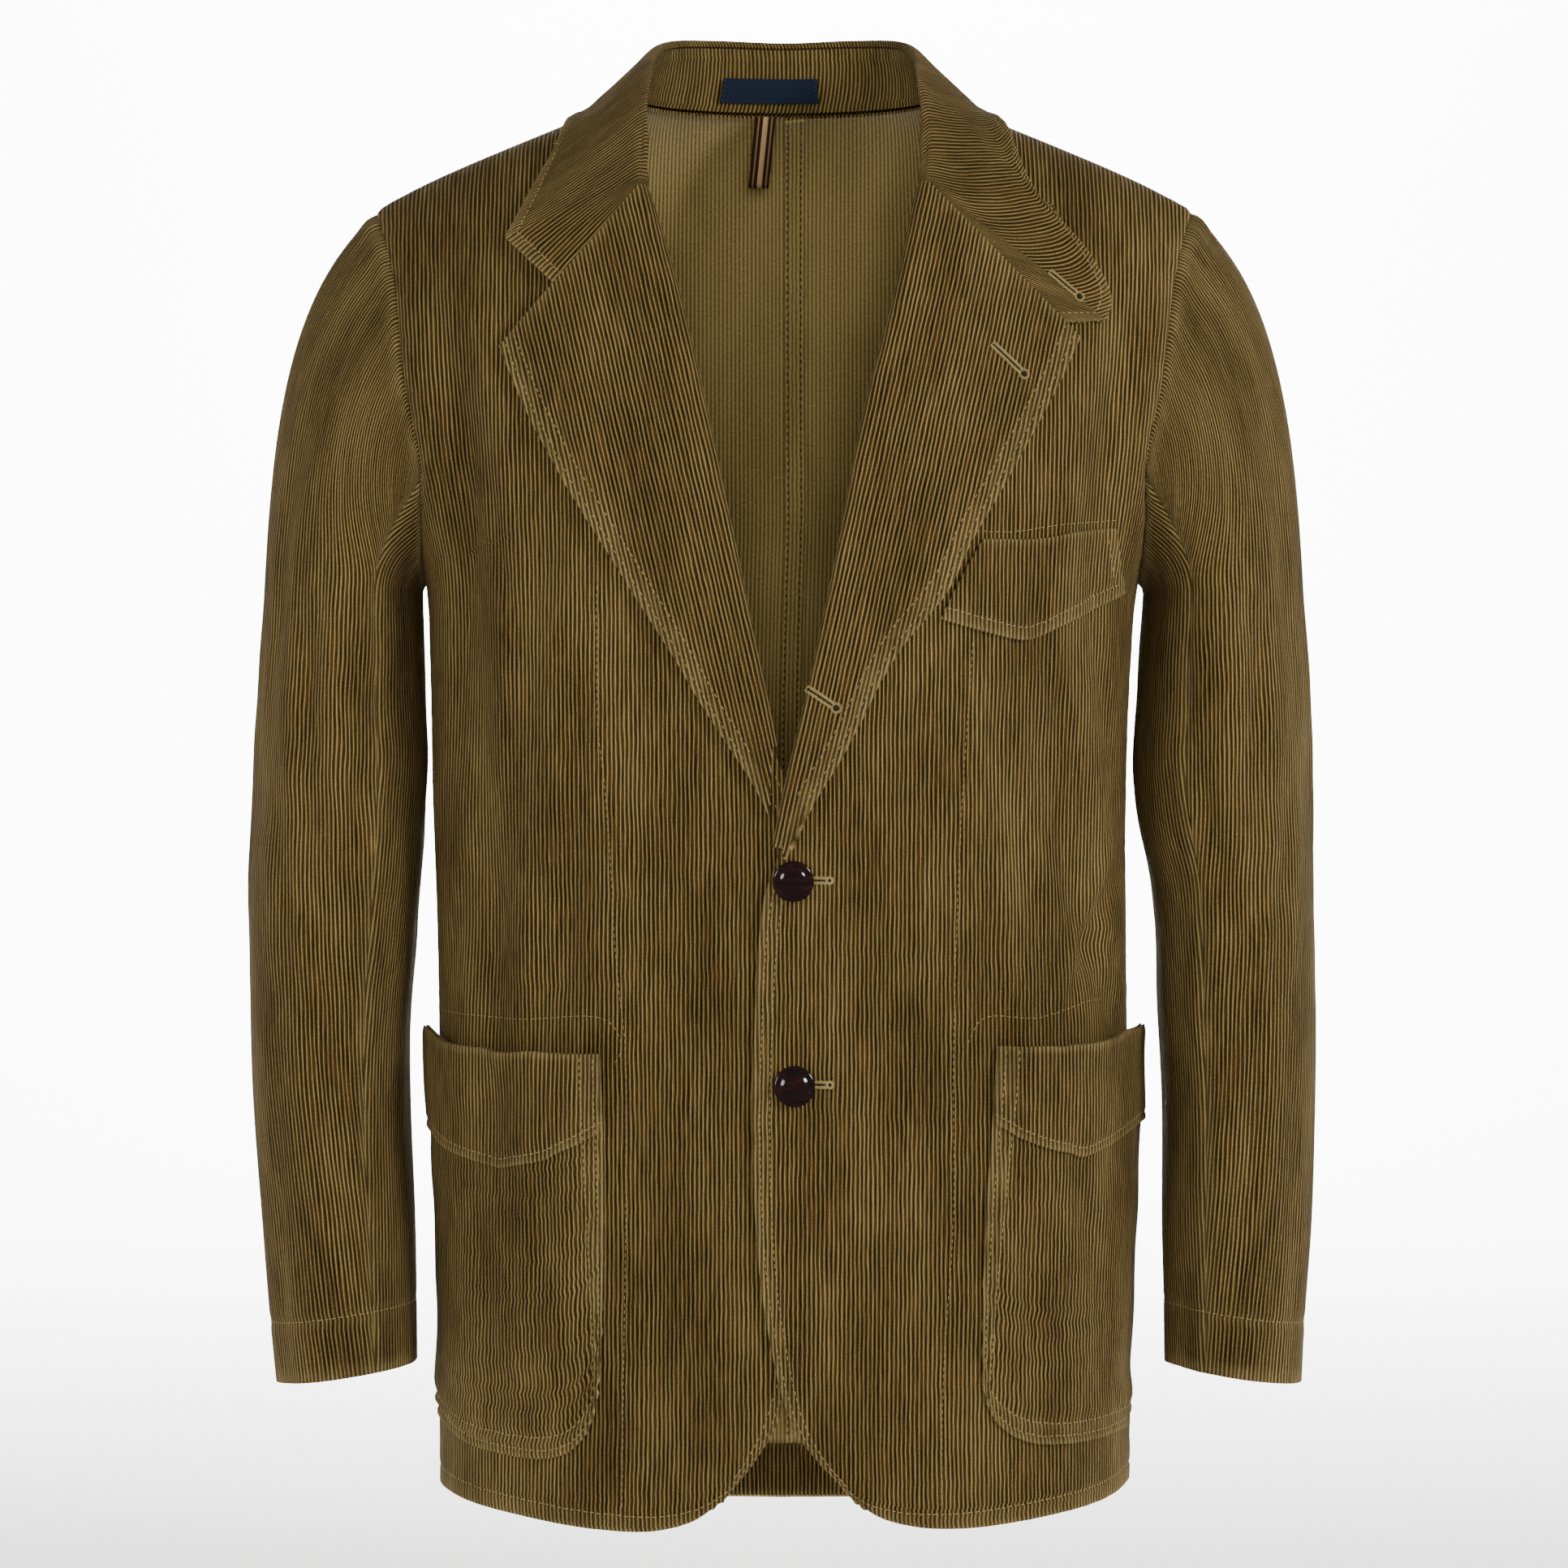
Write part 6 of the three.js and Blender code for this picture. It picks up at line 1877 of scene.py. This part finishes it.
def hangingLoop():
    back = formPoint(1, loop["x"], loop["top"]).y - loop["clear"] - loop["thick"]
    ahead = back - loop["thick"] - loop["gap"]
    radius = loop["gap"] / 2 + loop["thick"]
    centre = loop["top"] - loop["drop"] + radius
    turn = (loop["gap"] + loop["thick"]) / 2
    bend = []
    for t in steps(14):
        angle = math.pi * t
        bend.append(((back + ahead) / 2 + turn * math.cos(angle), centre - turn * math.sin(angle)))
    down = [(back, lerp(loop["top"], bend[0][1], t)) for t in steps(8)[:-1]]
    up = [(ahead, lerp(bend[-1][1], loop["top"], t)) for t in steps(8)[1:]]
    path = down + bend + up
    across = steps(8)
    grid = [[Vector((loop["x"] + (t - 0.5) * loop["width"] + loop["lean"] * (z - loop["top"]), y, z))
             for t in across] for y, z in path]
    normals = normalsOf(grid, 1)
    reach = reaches(grid)[1]
    crown = moved(grid, normals, lambda j, i: loop["thick"] / 2 + 0.12 * math.sin(reach[j][i] * 0.35))
    cut = flatCut([[t * loop["width"] for t in across] for _ in crown], reach)
    piece = clothMesh("hangingLoop", crown, 1, cut)
    tape = loopFinish()
    thicken(piece, loop["thick"], tape, tape, 0.35)
    flat, area = cutSize(crown)
    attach(piece, "root")
    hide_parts("hanger_loop")


neckLabel()
hangingLoop()

print("turned hem and felled seam inside the back")
fell = {"from": 0.6, "to": 13, "stitches": (1.8, 9.8), "gap": 0.5, "wall": 1.6, "pucker": 1.3}


def innerStrip(name, key, edge, insets, strip):
    back = panels[f"back_{key}"]
    turnUpTop = hems["backZ"] + turnUp["deep"]
    rows = []
    for inset in insets:
        line = lineFrom(back, edge, inset, keep=lambda p: edge == "bottom" or p.z > turnUpTop)
        rows.append([p - n * (cloth["wall"] + strip["gap"] + strip["wall"]) for p, n in line])
    count = min(len(row) for row in rows)
    rows = [row[:count] for row in rows]
    facing = normalsOf(rows, 1)
    middle = facing[len(rows) // 2][count // 2]
    outward = 1 if middle.y < 0 else -1
    facing = normalsOf(rows, outward)
    startReach, upReach = reaches(rows)
    last = upReach[-1][0]

    def height(j, i):
        fold = hump(min(upReach[j][i], last - upReach[j][i]), 0, 1.2)
        return pucker(0, startReach[j][i], strip["pucker"], 5 + j * 0.05, 30) - 0.4 * fold

    shaped = moved(rows, facing, height)
    cut = flatCut(upReach, startReach) if edge == "start" else flatCut(startReach, upReach)
    piece = clothMesh(name, shaped, outward, cut, lambda j, i: 0.4 * (j in (0, len(rows) - 1)))
    thicken(piece, strip["wall"], rightSide if edge == "bottom" else inside, inside, 0.4)
    declareCloth(piece, None, shaped)
    panels[name] = {"grid": shaped, "normals": normalsOf(shaped, outward)}


turnUpNames = {key: f"hemTurnUp{key.capitalize()}" for _, key in sides}
for key, name in turnUpNames.items():
    insets = [lerp(turnUp["from"], turnUp["deep"], t) for t in steps(9)]
    innerStrip(name, key, "bottom", insets, turnUp)
insets = [lerp(fell["from"], fell["to"], t) for t in steps(10)]
innerStrip("seamFell", "left", "start", insets, fell)
innerStitches = []
for inset in fell["stitches"]:
    sew(innerStitches, lineFrom(panels["seamFell"], "bottom", inset), width=1.0, gap=1.6)
for name in turnUpNames.values():
    sew(innerStitches, lineFrom(panels[name], "bottom", turnUp["stitch"] - 1), width=0.6)
finishStitches("stitchingInside", innerStitches, threadFinish("insideThread", thread["dark"]))

print("floor and lights")
stage = {"floor": (0.95, 0.95, 0.945), "level": -0.86, "wall": 3.2, "half": 9, "bend": 1.6}
lights = [  # name, place, aim, size, power
    ("key", (3.1, -2.6, 1.3), (0, 0, -0.4), 1.1, 165),
    ("fill", (-2.9, -2.4, 0.4), (0, 0, -0.4), 1.4, 56),
    ("front", (0.1, -4.2, -0.1), (0, 0, -0.3), 1.0, 82),
    ("sweep", (0, 2.6, 3.6), (0, 8.0, 0), 2.6, 2600),
]
roomLight = 0.2


def backdrop():
    bm = bmesh.new()
    bmesh.ops.create_grid(bm, x_segments=2, y_segments=60, size=1)
    for v in bm.verts:
        way = (v.co.y + 1) / 2 * 14
        front, bend = stage["wall"] + 6, stage["bend"]
        turn = min(max((way - front) / bend, 0), math.pi / 2)
        y = -6 + min(way, front) + bend * math.sin(turn)
        z = stage["level"] + bend * (1 - math.cos(turn)) + max(way - front - bend * math.pi / 2, 0)
        v.co = (v.co.x * stage["half"], y, z)
    for face in bm.faces:
        face.smooth = True
    mesh = bpy.data.meshes.new("floor")
    bm.to_mesh(mesh)
    bm.free()
    floor = bpy.data.objects.new("floor", mesh)
    floor.data.materials.append(plainFinish("paleFloor", stage["floor"], 0.85))
    bpy.context.scene.collection.objects.link(floor)
    floor.visible_glossy = False


def softLight(name, place, aim, size, power):
    lamp = bpy.data.lights.new(name, "AREA")
    lamp.shape = "DISK"
    lamp.size = size
    lamp.energy = power
    holder = bpy.data.objects.new(name, lamp)
    holder.location = place
    holder.visible_glossy = name != "front"
    holder.rotation_euler = (Vector(aim) - Vector(place)).to_track_quat("-Z", "Y").to_euler()
    bpy.context.scene.collection.objects.link(holder)


backdrop()
for row in lights:
    softLight(*row)
world = bpy.data.worlds.new("room")
bpy.context.scene.world = world
world.use_nodes = True
world.node_tree.nodes["Background"].inputs["Color"].default_value = (1, 1, 1, 1)
world.node_tree.nodes["Background"].inputs["Strength"].default_value = roomLight
